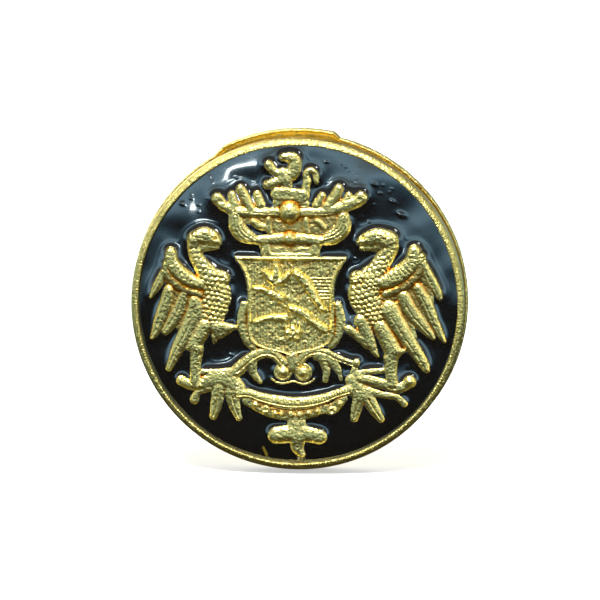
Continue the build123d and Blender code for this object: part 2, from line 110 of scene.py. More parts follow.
right_bird = [
    (1.12, 1.05, "head", [(8.2, 5.9, 0.85), (7.1, 6.1, 0.85), (6.1, 5.9, 0.58), (5.5, 5.7, 0.24)]),
    (0.86, 0.8, "plain", [(7.9, 5.2, 0.54), (6.8, 5.3, 0.4), (5.8, 5.2, 0.24)]),
    (1.0, 1.15, "neck", [(8.3, 5.3, 0.76), (7.8, 4.3, 0.81), (7.2, 3.2, 0.94), (6.6, 2.3, 1.26)]),
    (1.15, 0.95, "scale", [(6.6, 2.3, 1.26), (6.1, 1.2, 1.57), (6.4, 0.2, 1.48), (6.9, -0.9, 1.21)]),
    (1.12, 1.12, "scale", [(6.3, 2.6, 0.63), (5.3, 2.4, 0.67)]),
    (1.1, 1.2, "arm", [(10.5, 4.9, 0.6), (10.3, 3.9, 0.74), (9.4, 3.0, 0.84), (8.4, 2.4, 0.8),
                       (7.6, 2.1, 0.55)]),
    (0.66, 0.7, "flat", [(11.2, 4.5, 0.27), (11.1, 3.0, 0.5), (10.2, 2.0, 0.6), (9.0, 1.1, 0.5), (7.9, 0.7, 0.4)]),
    (0.92, 0.95, "covert", [(11.1, 4.5, 0.28), (10.8, 3.1, 0.5), (10.0, 2.1, 0.55), (9.0, 1.5, 0.5),
                            (7.9, 1.1, 0.4)]),
    (0.64, 0.6, "flat", [(11.2, 2.6, 0.4), (11.8, 1.2, 0.35), (12.1, 0.4, 0.1)]),
    (0.64, 0.6, "flat", [(10.4, 1.0, 0.5), (11.2, -0.6, 0.35), (11.7, -1.7, 0.1)]),
    (0.64, 0.6, "flat", [(9.2, 0.0, 0.55), (10.0, -1.6, 0.4), (10.6, -2.8, 0.1)]),
    (0.85, 0.7, "feather", [(11.3, 3.8, 0.35), (11.5, 3.3, 0.4), (12.0, 2.2, 0.49), (12.6, 1.2, 0.36),
                            (12.8, 0.7, 0.18)]),
    (0.95, 0.66, "feather", [(10.8, 1.6, 0.49), (11.5, 0.3, 0.58), (12.2, -1.3, 0.45), (12.8, -2.5, 0.31),
                             (13.2, -3.2, 0.14)]),
    (0.95, 0.7, "feather", [(9.5, 0.9, 0.6), (10.1, -0.4, 0.68), (11.0, -1.5, 0.6), (11.8, -2.4, 0.4),
                            (12.2, -2.9, 0.18)]),
    (1.0, 0.72, "feather", [(8.2, -0.4, 0.95), (9.3, -2.2, 0.76), (10.3, -3.7, 0.63), (11.3, -5.2, 0.45),
                            (11.6, -5.8, 0.27)]),
    (0.98, 1.0, "plain", [(7.5, -2.0, 0.7), (8.1, -3.1, 0.76), (8.6, -4.1, 0.81)]),
    (0.9, 0.75, "plain", [(8.6, -4.1, 0.72), (9.5, -4.1, 0.22)]),
    (0.95, 0.85, "plain", [(8.4, -4.8, 0.67), (8.4, -5.7, 0.54), (8.5, -7.0, 0.54)]),
    (0.95, 0.7, "plain", [(5.7, -1.4, 0.63), (6.3, -2.7, 0.58), (6.9, -4.1, 0.31), (7.2, -4.6, 0.14)]),
    (0.8, 0.75, "plain", [(4.6, -2.2, 0.38), (5.6, -2.9, 0.45), (6.3, -3.6, 0.36)]),
]
crown = [
    (0.95, 0.9, "flute", [(-5.6, 7.9, 0.58), (-5.4, 7.0, 0.76), (-4.8, 6.3, 0.76), (-3.7, 5.8, 0.36)]),
    (0.95, 0.9, "flute", [(4.1, 7.9, 0.58), (4.0, 7.0, 0.76), (3.2, 6.2, 0.72), (2.1, 5.8, 0.36)]),
    (0.96, 0.96, "plain", [(-3.4, 5.8, 0.45), (-0.7, 6.0, 0.54), (2.0, 5.8, 0.45)]),
    (0.74, 0.74, "flat", [(-2.9, 5.4, 0.54), (1.6, 5.4, 0.54)]),
    (0.8, 0.8, "flat", [(-2.8, 4.8, 0.5), (1.5, 4.8, 0.5)]),
    (0.66, 0.66, "flat", [(-5.0, 7.8, 0.5), (-3.2, 7.6, 0.54), (-1.8, 7.3, 0.75), (-1.3, 6.6, 0.75),
                          (-2.0, 6.1, 0.45)]),
    (0.66, 0.66, "flat", [(3.5, 7.7, 0.5), (2.0, 7.4, 0.75), (0.6, 7.1, 1.0), (-0.1, 6.5, 0.8)]),
    (0.66, 0.66, "flat", [(2.9, 6.9, 0.5), (1.6, 6.4, 0.6)]),
    (0.62, 0.62, "flat", [(-2.9, 7.2, 0.65), (-1.0, 6.9, 0.85), (1.5, 6.9, 0.9), (3.0, 7.1, 0.5)]),
]
crown_details = [                       # leaves and uprights over the crown's back
    (0.92, 0.8, "plain", [(-4.0, 7.5, 0.3), (-3.4, 7.1, 0.36), (-2.6, 6.95, 0.2)]),
    (0.92, 0.85, "plain", [(-2.6, 7.7, 0.26), (-2.6, 7.0, 0.3), (-2.45, 6.5, 0.22)]),
    (0.92, 0.85, "plain", [(0.75, 7.7, 0.26), (0.75, 7.1, 0.3), (0.9, 6.6, 0.22)]),
    (0.9, 0.8, "plain", [(1.75, 7.6, 0.2), (2.1, 7.3, 0.32), (2.45, 6.95, 0.16)]),
    (0.9, 0.9, "plain", [(-2.6, 4.75, 0.3), (-2.75, 5.4, 0.28)]),
    (0.9, 0.9, "plain", [(1.35, 4.75, 0.3), (1.5, 5.4, 0.28)]),
    (0.88, 0.88, "plain", [(-2.5, 4.5, 0.2), (1.3, 4.5, 0.2)]),
]
left_antler = [
    (0.64, 0.64, "flat", [(-6.1, 9.0, 0.3), (-4.9, 8.9, 0.4), (-3.5, 8.8, 0.35)]),
    (0.85, 0.95, "plain", [(-7.2, 9.5, 0.54), (-6.5, 8.8, 0.45), (-5.4, 8.4, 0.49), (-3.9, 8.3, 0.45),
                           (-0.8, 8.4, 0.42)]),
    (0.75, 0.85, "plain", [(-5.9, 9.9, 0.34), (-5.7, 9.0, 0.42)]),
    (0.85, 0.92, "plain", [(-5.1, 10.4, 0.42), (-4.7, 9.6, 0.46), (-4.2, 8.7, 0.4)]),
    (0.75, 0.85, "plain", [(-3.6, 9.9, 0.38), (-3.3, 9.0, 0.42)]),
]
right_antler = [
    (0.64, 0.64, "flat", [(1.7, 8.8, 0.3), (3.0, 9.0, 0.4), (4.4, 9.3, 0.35)]),
    (0.95, 0.9, "plain", [(-0.5, 8.4, 0.42), (2.0, 8.4, 0.45), (3.4, 8.7, 0.49), (4.7, 9.1, 0.54),
                          (5.7, 9.7, 0.58)]),
    (0.75, 0.85, "plain", [(2.2, 9.85, 0.33), (1.7, 9.0, 0.4)]),
    (0.85, 0.92, "plain", [(3.7, 10.5, 0.42), (3.3, 9.7, 0.5), (2.6, 8.9, 0.42)]),
    (0.75, 0.85, "plain", [(4.6, 9.9, 0.32), (4.2, 9.1, 0.4)]),
]
crest_base = [
    (0.85, 0.85, "flat", [(-1.8, 10.0, 0.58), (0.4, 9.8, 0.63)]),
    (0.78, 0.78, "flat", [(-1.8, 9.2, 0.4), (-0.7, 9.7, 0.6), (0.6, 9.1, 0.45)]),
]
crest_serpent = [
    (0.8, 0.9, "plain", [(-1.3, 13.3, 0.36), (-0.4, 13.2, 0.54), (-0.2, 12.6, 0.54), (-0.6, 11.8, 0.63),
                         (-1.6, 11.2, 0.49), (-2.7, 10.8, 0.4)]),
    (0.78, 0.85, "plain", [(-2.6, 12.6, 0.4), (-1.9, 11.9, 0.36), (-1.3, 11.9, 0.45)]),
    (0.9, 0.8, "plain", [(-1.0, 11.3, 0.54), (-1.1, 10.3, 0.63)]),
]
crest_hook = [
    (0.75, 0.65, "plain", [(0.9, 11.1, 0.31), (0.8, 11.8, 0.31), (1.2, 12.1, 0.31), (1.6, 11.8, 0.27),
                           (1.7, 11.1, 0.18)]),
    (0.78, 0.78, "plain", [(0.8, 11.1, 0.31), (0.7, 10.0, 0.36)]),
]
mantle_left = [
    (0.7, 0.7, "plain", [(-4.8, -0.1, 0.4), (-5.0, -1.6, 0.49), (-4.6, -3.1, 0.45), (-4.0, -3.9, 0.36)]),
]
mantle_right = [
    (0.7, 0.7, "plain", [(3.6, -0.1, 0.4), (3.85, -1.6, 0.49), (3.5, -3.0, 0.45), (3.0, -3.7, 0.36)]),
]
scroll = [
    (0.62, 0.62, "plain", [(-2.3, -6.75, 0.06), (-1.9, -7.05, 0.06), (-1.3, -7.15, 0.06), (-0.8, -7.05, 0.06),
                           (-0.4, -6.95, 0.06), (0.1, -7.1, 0.06), (0.6, -7.2, 0.06), (1.1, -7.05, 0.06),
                           (1.5, -6.75, 0.06)]),
    (0.8, 0.82, "rail", [(-5.4, -6.0, 0.6), (-4.3, -5.0, 0.54), (-3.2, -4.4, 0.49), (-2.1, -4.5, 0.49),
                         (-1.3, -5.3, 0.49)]),
    (0.82, 0.7, "rail", [(0.1, -5.2, 0.49), (0.9, -4.4, 0.45), (2.2, -4.2, 0.4), (3.6, -4.8, 0.31),
                         (5.3, -5.4, 0.27)]),
    (0.8, 0.8, "plain", [(5.3, -5.2, 0.34)]),
    (0.85, 0.85, "curl", [(-1.3, -6.1, 0.85)]),
    (0.85, 0.85, "curl", [(0.5, -6.1, 0.85)]),
    (0.8, 0.78, "plain", [(-0.5, -4.6, 0.6), (-0.4, -5.6, 0.6)]),
    (0.78, 0.62, "plain", [(-4.1, -5.3, 0.45), (-4.0, -6.2, 0.36), (-3.4, -7.0, 0.22)]),
    (0.8, 0.62, "plain", [(1.8, -4.6, 0.49), (2.9, -5.0, 0.54), (3.6, -5.8, 0.4), (3.9, -6.7, 0.22)]),
    (0.75, 0.65, "plain", [(2.2, -5.0, 0.36), (2.6, -5.9, 0.4), (2.5, -6.8, 0.27)]),
]
left_branch = [
    (0.72, 0.75, "plain", [(-10.5, -7.0, 0.43), (-9.6, -7.4, 0.43), (-8.8, -7.3, 0.54)]),
    (0.78, 0.86, "plain", [(-8.8, -7.3, 0.54), (-7.6, -6.9, 0.72), (-6.3, -6.9, 0.9), (-5.4, -7.6, 0.72)]),
    (0.66, 0.8, "plain", [(-8.6, -6.2, 0.27), (-7.1, -6.3, 0.4), (-5.6, -6.2, 0.5)]),
    (0.7, 0.64, "plain", [(-7.5, -7.6, 0.3), (-8.9, -8.0, 0.27), (-9.3, -8.7, 0.4)]),
    (0.82, 0.66, "leaf", [(-7.1, -7.6, 0.65), (-7.3, -9.1, 0.54), (-7.6, -10.2, 0.31)]),
    (0.82, 0.66, "leaf", [(-6.0, -7.9, 0.67), (-5.7, -9.2, 0.54), (-5.3, -10.3, 0.29)]),
]
right_branch = [
    (0.66, 0.7, "plain", [(5.2, -5.6, 0.3), (4.9, -6.7, 0.45)]),
    (0.8, 0.86, "plain", [(4.8, -6.8, 0.54), (5.4, -7.6, 0.85), (5.8, -8.2, 0.81)]),
    (0.72, 0.66, "plain", [(5.3, -6.2, 0.3), (6.6, -6.0, 0.25), (7.9, -5.9, 0.27)]),
    (0.8, 0.74, "plain", [(5.6, -6.6, 0.45), (7.7, -7.1, 0.49), (9.0, -7.5, 0.45), (9.9, -7.1, 0.45)]),
    (0.85, 0.85, "plain", [(10.1, -6.9, 0.54)]),
    (0.75, 0.62, "plain", [(6.0, -7.7, 0.5), (7.7, -8.1, 0.31), (8.9, -8.3, 0.36), (9.6, -8.9, 0.29)]),
    (0.8, 0.66, "leaf", [(5.6, -8.3, 0.6), (5.3, -9.4, 0.49), (5.1, -10.3, 0.31)]),
    (0.82, 0.66, "leaf", [(6.2, -8.2, 0.7), (6.9, -9.4, 0.54), (7.5, -10.3, 0.31)]),
]
ribbon = [
    (0.95, 0.95, "ribbon", [(-5.3, -8.1, 0.5), (-4.3, -8.1, 0.36), (-3.2, -8.5, 0.45), (-2.0, -8.8, 0.56),
                            (-0.5, -9.0, 0.58), (0.9, -8.9, 0.56), (2.2, -8.6, 0.49), (3.4, -8.1, 0.36),
                            (4.6, -7.7, 0.5)]),
]
bead_row = [
    (0.66, 0.66, "flat", [(-4.5, -8.7, 0.5), (-3.6, -9.2, 0.5), (-2.5, -9.7, 0.52), (-1.2, -9.9, 0.56),
                          (0.2, -9.9, 0.56), (1.3, -9.7, 0.5), (2.4, -9.4, 0.4), (3.1, -9.4, 0.49),
                          (4.1, -8.5, 0.4)]),
]
rosettes = [(-2.9, -9.55, 0.44), (3.1, -9.6, 0.44)]         # beads with a dimple: (x, z, radius)
beads = [
    (-2.05, -9.9, 0.3), (-1.45, -9.9, 0.26), (-0.55, -9.95, 0.34), (0.2, -9.95, 0.34), (1.0, -9.8, 0.32),
    (1.8, -9.65, 0.3), (-3.8, -9.1, 0.34), (3.8, -8.95, 0.3),
]
cross = [
    (0.9, 0.85, "plain", [(-1.9, -11.9, 0.76), (-0.5, -11.7, 0.81)]),
    (0.7, 0.8, "plain", [(2.0, -12.0, 0.63), (0.5, -11.7, 0.72)]),
    (0.75, 0.85, "plain", [(-0.1, -10.6, 0.85), (-0.1, -11.9, 0.9)]),
    (0.85, 0.65, "plain", [(0.0, -12.2, 0.72), (0.0, -13.0, 0.54), (0.4, -13.6, 0.27)]),
]
orb = [(1.5, 1.5, "ball", [(-0.7, 8.4, 0.95)])]
boss = [(1.3, 1.3, "ball", [(-0.7, 6.0, 0.6)])]

# Where two drawings meet, the piece that comes first keeps the ground.
relief = {
    "crown_orb": orb, "crown_boss": boss, "shield_plate": [], "ribbon": ribbon, "left_bird": left_bird,
    "right_bird": right_bird, "crown": crown + crown_details, "left_antler": left_antler,
    "right_antler": right_antler, "crest_base": crest_base, "crest_serpent": crest_serpent,
    "crest_hook": crest_hook, "shield_mantle_left": mantle_left, "shield_mantle_right": mantle_right,
    "scroll": scroll, "left_branch": left_branch, "right_branch": right_branch, "bead_row": bead_row,
    "cross_pendant": cross,
}

# ---- the drawing grid ----

PITCH = 0.04
MARGIN = 0.2                # grid beyond the rim
GROW = 0.07                 # the enamel hides this much of a stroke's foot
FAR = 9.0                   # a share of the radius that no stroke reaches
SEED = 11
HALF = round((rim_r + MARGIN) / PITCH)
line = np.arange(-HALF, HALF + 1) * PITCH
X, Z = np.meshgrid(line, line)
R = np.hypot(X, Z)
freq = np.fft.fftfreq(len(line), PITCH)
freq2 = freq[:, None] ** 2 + freq[None, :] ** 2
random = np.random.default_rng(SEED)


def blur(field, sigma):
    return np.fft.ifft2(np.fft.fft2(field) * np.exp(-2 * (math.pi * sigma) ** 2 * freq2)).real


def grain(sigma):
    """Smooth noise of unit spread, with bumps of about three sigma."""
    g = blur(random.standard_normal(X.shape), sigma)
    return g / g.std()


def curved(points):
    """The same stroke as a smooth curve through its points."""
    if len(points) < 3:
        return points
    p = np.array([points[0], *points, points[-1]], dtype=float)
    out = []
    for a, b, c, d in zip(p, p[1:], p[2:], p[3:]):
        for t in (0, 0.25, 0.5, 0.75):
            out.append(b + 0.5 * t * ((c - a) + t * ((2 * a - 5 * b + 4 * c - d) + t * (3 * b - 3 * c + d - a))))
    return [tuple(q) for q in out] + [tuple(p[-1])]


def window(points):
    """The part of the grid that holds a stroke."""
    p = np.array(points)
    pad = p[:, 2].max() + GROW + 2 * PITCH
    lo = np.floor((p[:, :2].min(0) - pad) / PITCH).astype(int) + HALF
    hi = np.ceil((p[:, :2].max(0) + pad) / PITCH).astype(int) + HALF + 1
    lo, hi = np.clip(lo, 0, len(line)), np.clip(hi, 0, len(line))
    return slice(lo[1], hi[1]), slice(lo[0], hi[0])


def follow(points):
    """For each grid point near a stroke: u, its share of the stroke's radius; s, the distance along; v, across."""
    points = curved(points)
    win = window(points)
    x, z = X[win], Z[win]
    u = np.full(x.shape, FAR)
    s, v = np.zeros(x.shape), np.zeros(x.shape)
    done = 0.0
    pairs = list(zip(points, points[1:])) or [(points[0], points[0])]
    for (ax, az, ar), (bx, bz, br) in pairs:
        dx, dz = bx - ax, bz - az
        length = math.hypot(dx, dz)
        t = np.clip(((x - ax) * dx + (z - az) * dz) / max(length, 1e-9) ** 2, 0, 1)
        ex, ez = x - ax - t * dx, z - az - t * dz
        near = np.hypot(ex, ez)
        share = near / (ar + t * (br - ar) + GROW)
        nearer = share < u
        u[nearer] = share[nearer]
        s[nearer] = (done + t * length)[nearer]
        v[nearer] = (near * np.where(dx * ez - dz * ex < 0, -1, 1))[nearer]
        done += length
    return win, u, s, v, max(done, 1e-9)


def soft_max(a, b, k):
    """The higher of two heights, rounded within k of where they cross."""
    gap = np.maximum(k - np.abs(a - b), 0) / k
    return np.maximum(a, b) + gap * gap * k / 4


def bumps(x, z, turn, across, along):
    """A brick lattice of round bumps turned by some degrees, 0 between them and 1 on top."""
    c, sn = math.cos(math.radians(turn)), math.sin(math.radians(turn))
    a, b = (x * c + z * sn) / across, (z * c - x * sn) / along
    row = np.floor(b)
    a = a + 0.5 * (row % 2)
    da, db = a - np.floor(a) - 0.5, b - row - 0.5
    return np.sqrt(np.maximum(0, 1 - (da / 0.5) ** 2 - (db / 0.54) ** 2))


FOOT = 0.42                 # height of a stroke's edge, under the enamel
LIFT = 0.14                 # share by which low strokes are brought nearer to LIFT_TO
LIFT_TO = 1.1
ROUND = 2.3                 # power of a stroke's section: 2 is half an ellipse, more is flatter
roundness = {"flat": 6.0, "feather": 2.2, "ball": 2.6, "arm": 3.0}
scale_turn = {"left_bird": -12, "right_bird": 14}           # degrees
scale_depth = {"scale": 0.12, "neck": 0.08, "head": 0.035}
SCALE_WIDE, SCALE_LONG = 0.5, 0.44
ARM_RIB, FLUTE, RIBBON_RIB = 0.40, 0.30, 0.25               # spacing of ribs along or across a stroke
SPINE, RAIL_LINE = -0.1, -0.12                              # grooves beside a stroke's middle
RIBBON_EDGE, RIBBON_FOLD, RIBBON_BAND = -0.17, -0.40, (-0.12, 0.34)
CURL_LINE, CURL_GAP = 0.56, 2.4                             # the spiral's radius, and the angle where it ends
# how softly a stroke runs into what is under it
merge = {"plain": 0.14, "feather": 0.05, "arm": 0.02, "scale": 0.12, "neck": 0.12, "head": 0.08, "flat": 0.06,
         "flute": 0.03, "rail": 0.1, "ribbon": 0.03, "curl": 0.03, "ball": 0.05, "leaf": 0.05, "covert": 0.02}


def groove(v, at, width):
    """1 on the line v = at, falling off beside it."""
    return np.exp(-((v - at) / width) ** 2)


def stroke_height(name, rise, style, points):
    """A stroke's window, its height over the ground there, and u."""
    win, u, s, v, length = follow(points)
    x, z = X[win], Z[win]
    tall = rise[0] + (rise[1] - rise[0]) * s / length
    tall = tall + LIFT * (LIFT_TO - tall)
    dome = np.sqrt(np.maximum(0, 1 - np.clip(u, 0, 1) ** roundness.get(style, ROUND)))
    h = FOOT + (tall - FOOT) * dome
    soft = np.clip(dome * 1.6, 0, 1)
    if style in scale_depth:
        scales = bumps(x + warp_x[win], z + warp_z[win], scale_turn[name], SCALE_WIDE, SCALE_LONG)
        h -= scale_depth[style] * (1 - scales) * soft
    elif style == "arm":
        h -= 0.035 * groove((s / ARM_RIB) % 1, 0.5, 0.12) * soft * np.clip(1.5 - 1.8 * u, 0, 1)
    elif style == "feather":
        h -= 0.045 * groove(v, SPINE, 0.07) * soft * (s > 0.5)
    elif style == "leaf":
        h -= 0.10 * groove(v, 0, 0.06) * soft * (s > 0.2)
    elif style == "flute":
        h -= 0.022 * (1 - np.cos(2 * math.pi * (v + 0.12 * s) / FLUTE)) * soft
    elif style == "rail":
        h -= 0.12 * groove(v, RAIL_LINE, 0.07) * soft
    elif style == "ribbon":
        band = (v > RIBBON_BAND[0]) * (v < RIBBON_BAND[1])
        h -= 0.03 * (1 - np.cos(2 * math.pi * s / RIBBON_RIB)) * soft * band
        h -= 0.14 * groove(v, RIBBON_EDGE, 0.05) * soft
        h -= 0.10 * groove(v, RIBBON_FOLD, 0.04) * soft
    elif style == "curl":
        away = np.hypot(x - points[0][0], z - points[0][1])
        turn = np.arctan2(z - points[0][1] - 0.1, x - points[0][0])
        h += 0.16 * groove(away, 0, 0.36)
        h -= 0.13 * groove(away, CURL_LINE, 0.08) * (turn < CURL_GAP)
    h[u >= 1] = 0
    return win, h, u


PLATE_DIP = 0.16            # shield's field below its edge band
QUARTER_X = 0.9             # the hatched quarter starts here
QUARTER_TOP, QUARTER_LOW = 2.6, 0.4
HATCH, FIELD_HATCH = 0.3, 0.27
SHIELD_X = -0.6


def shield_surface(name):
    """Where the shield's plate is, and its height: an edge band, hatching and a worn grain."""
    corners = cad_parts[name].data.vertices
    edge = np.array([(c.co.x, c.co.z) for c in corners]) / MM
    middle = (edge[:, 0].min() + edge[:, 0].max()) / 2
    sides = []
    for sign in (-1, 1):
        pts = edge[(edge[:, 0] - middle) * sign >= 0]
        pts = pts[np.argsort(pts[:, 1])]
        sides.append(np.interp(Z, pts[:, 1], pts[:, 0], left=middle, right=middle))
    inside = np.minimum(X - sides[0], sides[1] - X)
    inside = np.minimum(inside, edge[:, 1].max() - Z)
    on = (inside > 0) & (Z > edge[:, 1].min())
    plate = shield_h - PLATE_DIP + PLATE_DIP * groove(inside, 0.2, 0.16)
    plate -= np.where(inside < 0.12, (0.12 - inside) ** 2 * 12, 0)
    upright = (X > QUARTER_X) & (Z > QUARTER_TOP)
    level = (X > QUARTER_X) & (Z <= QUARTER_TOP) & (Z > QUARTER_LOW)
    field = np.clip((inside - 0.3) / 0.2, 0, 1)
    plate -= 0.024 * (1 - np.cos(2 * math.pi * np.where(level, Z, X) / HATCH)) * field * (upright | level)
    plate -= 0.022 * (1 - np.cos(2 * math.pi * X / FIELD_HATCH)) * field * ~(upright | level)
    plate += 0.012 * grain(0.085) * field
    plate += 0.05 * np.clip(grain(0.2), -0.4, 1.6) * field * groove(X - SHIELD_X - 0.15 * Z, 0, 1.3)
    return on, np.where(on, np.maximum(plate, FOOT), 0)


warp_x, warp_z = 0.07 * grain(0.35), 0.07 * grain(0.35)     # keeps the birds' scales from a straight lattice
H = np.zeros(X.shape)       # height of the relief over the ground
label = np.zeros(X.shape, dtype=int)
names = list(relief)
for k, (name, strokes) in enumerate(relief.items(), start=1):
    for from_rise, to_rise, style, points in strokes:
        win, h, u = stroke_height(name, (from_rise, to_rise), style, points)
        H[win] = np.where(h > 0, soft_max(H[win], h, merge[style]), H[win])
        label[win] = np.where((u < 1) & (label[win] == 0), k, label[win])
    if name == "shield_plate":
        on, h = shield_surface(name)
        H = np.where(on, np.maximum(H, h), H)
        label = np.where(on & (label == 0), k, label)

# small marks: (x, z, radius, height change)
marks = [
    (-7.38, 5.98, 0.34, 0.16), (-7.38, 5.98, 0.19, -0.36), (5.84, 6.18, 0.34, 0.16), (5.84, 6.18, 0.19, -0.36),
    (-8.2, 6.5, 0.3, 0.1), (-9.0, 6.3, 0.25, 0.08), (-8.7, 5.5, 0.25, -0.1), (6.8, 6.6, 0.3, 0.1),
    (7.7, 6.4, 0.25, 0.08), (7.1, 5.6, 0.25, -0.1), (-1.2, 12.8, 0.2, -0.2), (1.2, 11.7, 0.18, -0.2),
    (-6.9, 9.3, 0.22, -0.14), (5.5, 9.6, 0.2, -0.1), (-8.9, -7.4, 0.25, 0.1), (10.1, -6.9, 0.25, 0.12),
    (-6.8, 2.5, 0.2, -0.1), (5.2, 2.7, 0.2, -0.1), (5.9, 2.2, 0.2, -0.1), (6.3, 3.0, 0.16, -0.08),
    (-0.7, 5.1, 0.5, -0.1),
]
for x, z, r, change in marks:
    H += change * np.exp(-((X - x) ** 2 + (Z - z) ** 2) / r ** 2) * (H > 0)

for x, z, r in rosettes + beads:
    d = np.hypot(X - x, Z - z) / r
    bead = 0.62 + 0.36 * np.sqrt(np.maximum(0, 1 - d * d))
    if (x, z, r) in rosettes:
        bead = bead - 0.25 * groove(d, 0, 0.45)
    H = np.where((d < 1) & (H > 0), np.maximum(H, bead), H)

coarse = grain(0.09)
fine = grain(0.05)
cover = np.clip((H - FOOT) / 0.2, 0, 1)
H = np.where(H > 0, H + (0.007 * coarse + 0.006 * fine) * cover, H)
LOWEST_CAP, OVER_CAP = 1.0, 0.12
for k, name in enumerate(names, start=1):
    H = np.where(label == k, np.minimum(H, max(top_h[name], LOWEST_CAP) + OVER_CAP), H)

# ---- charges of the shield ----

charges = {
    "shield_upper_bend": [(-0.1, 2.9, 0.35), (0.7, 2.1, 0.5), (1.4, 1.0, 0.4), (2.3, -0.4, 0.3)],
    "shield_lower_bend": [(-0.6, -0.3, 0.35), (0.6, -0.8, 0.42), (1.4, -1.5, 0.35), (2.4, -2.2, 0.38)],
    "shield_upper_bar": [(-3.8, 1.5, 0.2), (-2.9, 1.3, 0.32), (-1.5, 0.6, 0.42)],
    "shield_lower_bar": [(-3.8, -1.6, 0.2), (-2.6, -1.2, 0.26), (-1.0, -1.2, 0.4)],
}
charges = {name: [points] for name, points in charges.items()}
charges["shield_sprig"] = [
    [(-2.0, 1.9, 0.25), (-1.9, 2.8, 0.38), (-1.9, 3.4, 0.3)],
    [(-2.0, 1.9, 0.25), (-2.6, 2.5, 0.34), (-2.9, 3.0, 0.2)],
    [(-2.0, 1.9, 0.25), (-1.2, 2.3, 0.36), (-0.8, 2.8, 0.2)],
]
FLOWER_X, FLOWER_Z, PETAL_R, PETAL_OUT = -0.4, -2.6, 0.32, 0.46
charges["shield_flower"] = [[(FLOWER_X, FLOWER_Z, PETAL_R)]] + [
    [(FLOWER_X + PETAL_OUT * math.cos(t), FLOWER_Z + PETAL_OUT * math.sin(t), PETAL_R)]
    for t in (math.radians(90 + i * 72) for i in range(5))]
CHARGE_ROOT = 0.30          # charges start this far below the shield's face
charge_h = front("shield_sprig") - ground
C = np.zeros(X.shape)
charge_label = np.zeros(X.shape, dtype=int)
for k, (name, strokes) in enumerate(charges.items(), start=1):
    for points in strokes:
        win, u, s, v, length = follow(points)
        dome = np.sqrt(np.maximum(0, 1 - np.clip(u, 0, 1) ** 2))
        h = np.where(u < 1, shield_h - CHARGE_ROOT + (charge_h - shield_h + CHARGE_ROOT) * dome, 0)
        C[win] = np.maximum(C[win], h)
        charge_label[win] = np.where((u < 1) & (charge_label[win] == 0), k, charge_label[win])
C = np.where(C > 0, C + 0.022 * grain(0.14) + 0.014 * coarse + 0.008 * fine, 0)

# ---- enamel: it climbs at every edge, is domed over the field, and sags and ripples between ----

wall = (H > enamel_h).astype(float)
near_wall, far_wall = blur(wall, 0.18), blur(wall, 0.45)
E = enamel_h - 0.17 + 0.14 * np.minimum(near_wall, 0.6) + 0.10 * np.minimum(far_wall, 0.6)
E += 0.16 - 0.05 * (R / field_r) ** 2 - 0.12 * (R / field_r) ** 8 - 0.0013 * np.maximum(X, 0) * np.maximum(Z, 0)
E += 0.006 * np.exp(-((far_wall - 0.10) / 0.03) ** 2)
calm = 1 - 0.9 * np.exp(-((X + 4.5) / 3.0) ** 2 - ((Z - 13.1) / 1.3) ** 2)
calm -= 0.6 * np.exp(-((X - 3.0) / 2.5) ** 2 - ((Z - 12.6) / 1.4) ** 2)
E += (0.004 * grain(0.55) + 0.010 * grain(0.9) + 0.026 * grain(1.6)) * calm
# bubbles: (x, z, radius), and swarms of smaller ones: (x, z, spread, how many)
spots = [
    (-10.4, 9.0, 0.2), (-9.6, 9.5, 0.13), (-5.5, 11.4, 0.13), (2.6, 12.9, 0.14), (6.9, 10.9, 0.2),
    (7.4, 10.1, 0.12), (8.5, 9.4, 0.2), (9.3, 8.2, 0.32), (-5.9, 2.6, 0.12), (5.2, 4.2, 0.12),
    (-6.0, -4.6, 0.14),
]
swarms = [(7.6, 9.4, 1.5, 16), (4.6, 11.8, 1.2, 8), (6.0, 7.6, 0.9, 6), (-8.6, 9.6, 1.3, 8)]
SPECK_R = (0.07, 0.12)
specks = np.random.default_rng(SEED)
for x, z, spread, count in swarms:
    for k in range(count):
        spots.append((x + spread * specks.normal(), z + 0.7 * spread * specks.normal(), specks.uniform(*SPECK_R)))
for x, z, r in spots:
    E += 0.14 * r * np.exp(-((X - x + 0.7 * (Z - z)) ** 2 + 1.6 * (Z - z) ** 2) / r ** 2)

# ---- meshes ----


def new_object(name, mesh, finish):
    made = bpy.data.objects.new(name, mesh)
    bpy.context.collection.objects.link(made)
    mesh.materials.append(finish)
    return made


def add_piece(name, mesh, finish, body, slot, *cad_nodes):
    piece = new_object(name, mesh, finish)
    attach(piece, body)
    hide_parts(*cad_nodes)


def add_painted_shade(mesh, painted_shade_and_tone):
    """Store each point's painted shade, with a little random tone, 0 pale to 1 deep, for the gilt's colour."""
    layer = mesh.color_attributes.new("painted_shade_and_tone", "FLOAT_COLOR", "POINT")
    value = np.ones((painted_shade_and_tone.size, 4), dtype=np.float32)
    value[:, :3] = np.clip(painted_shade_and_tone, 0, 1).reshape(-1, 1)
    layer.data.foreach_set("color", value.ravel())


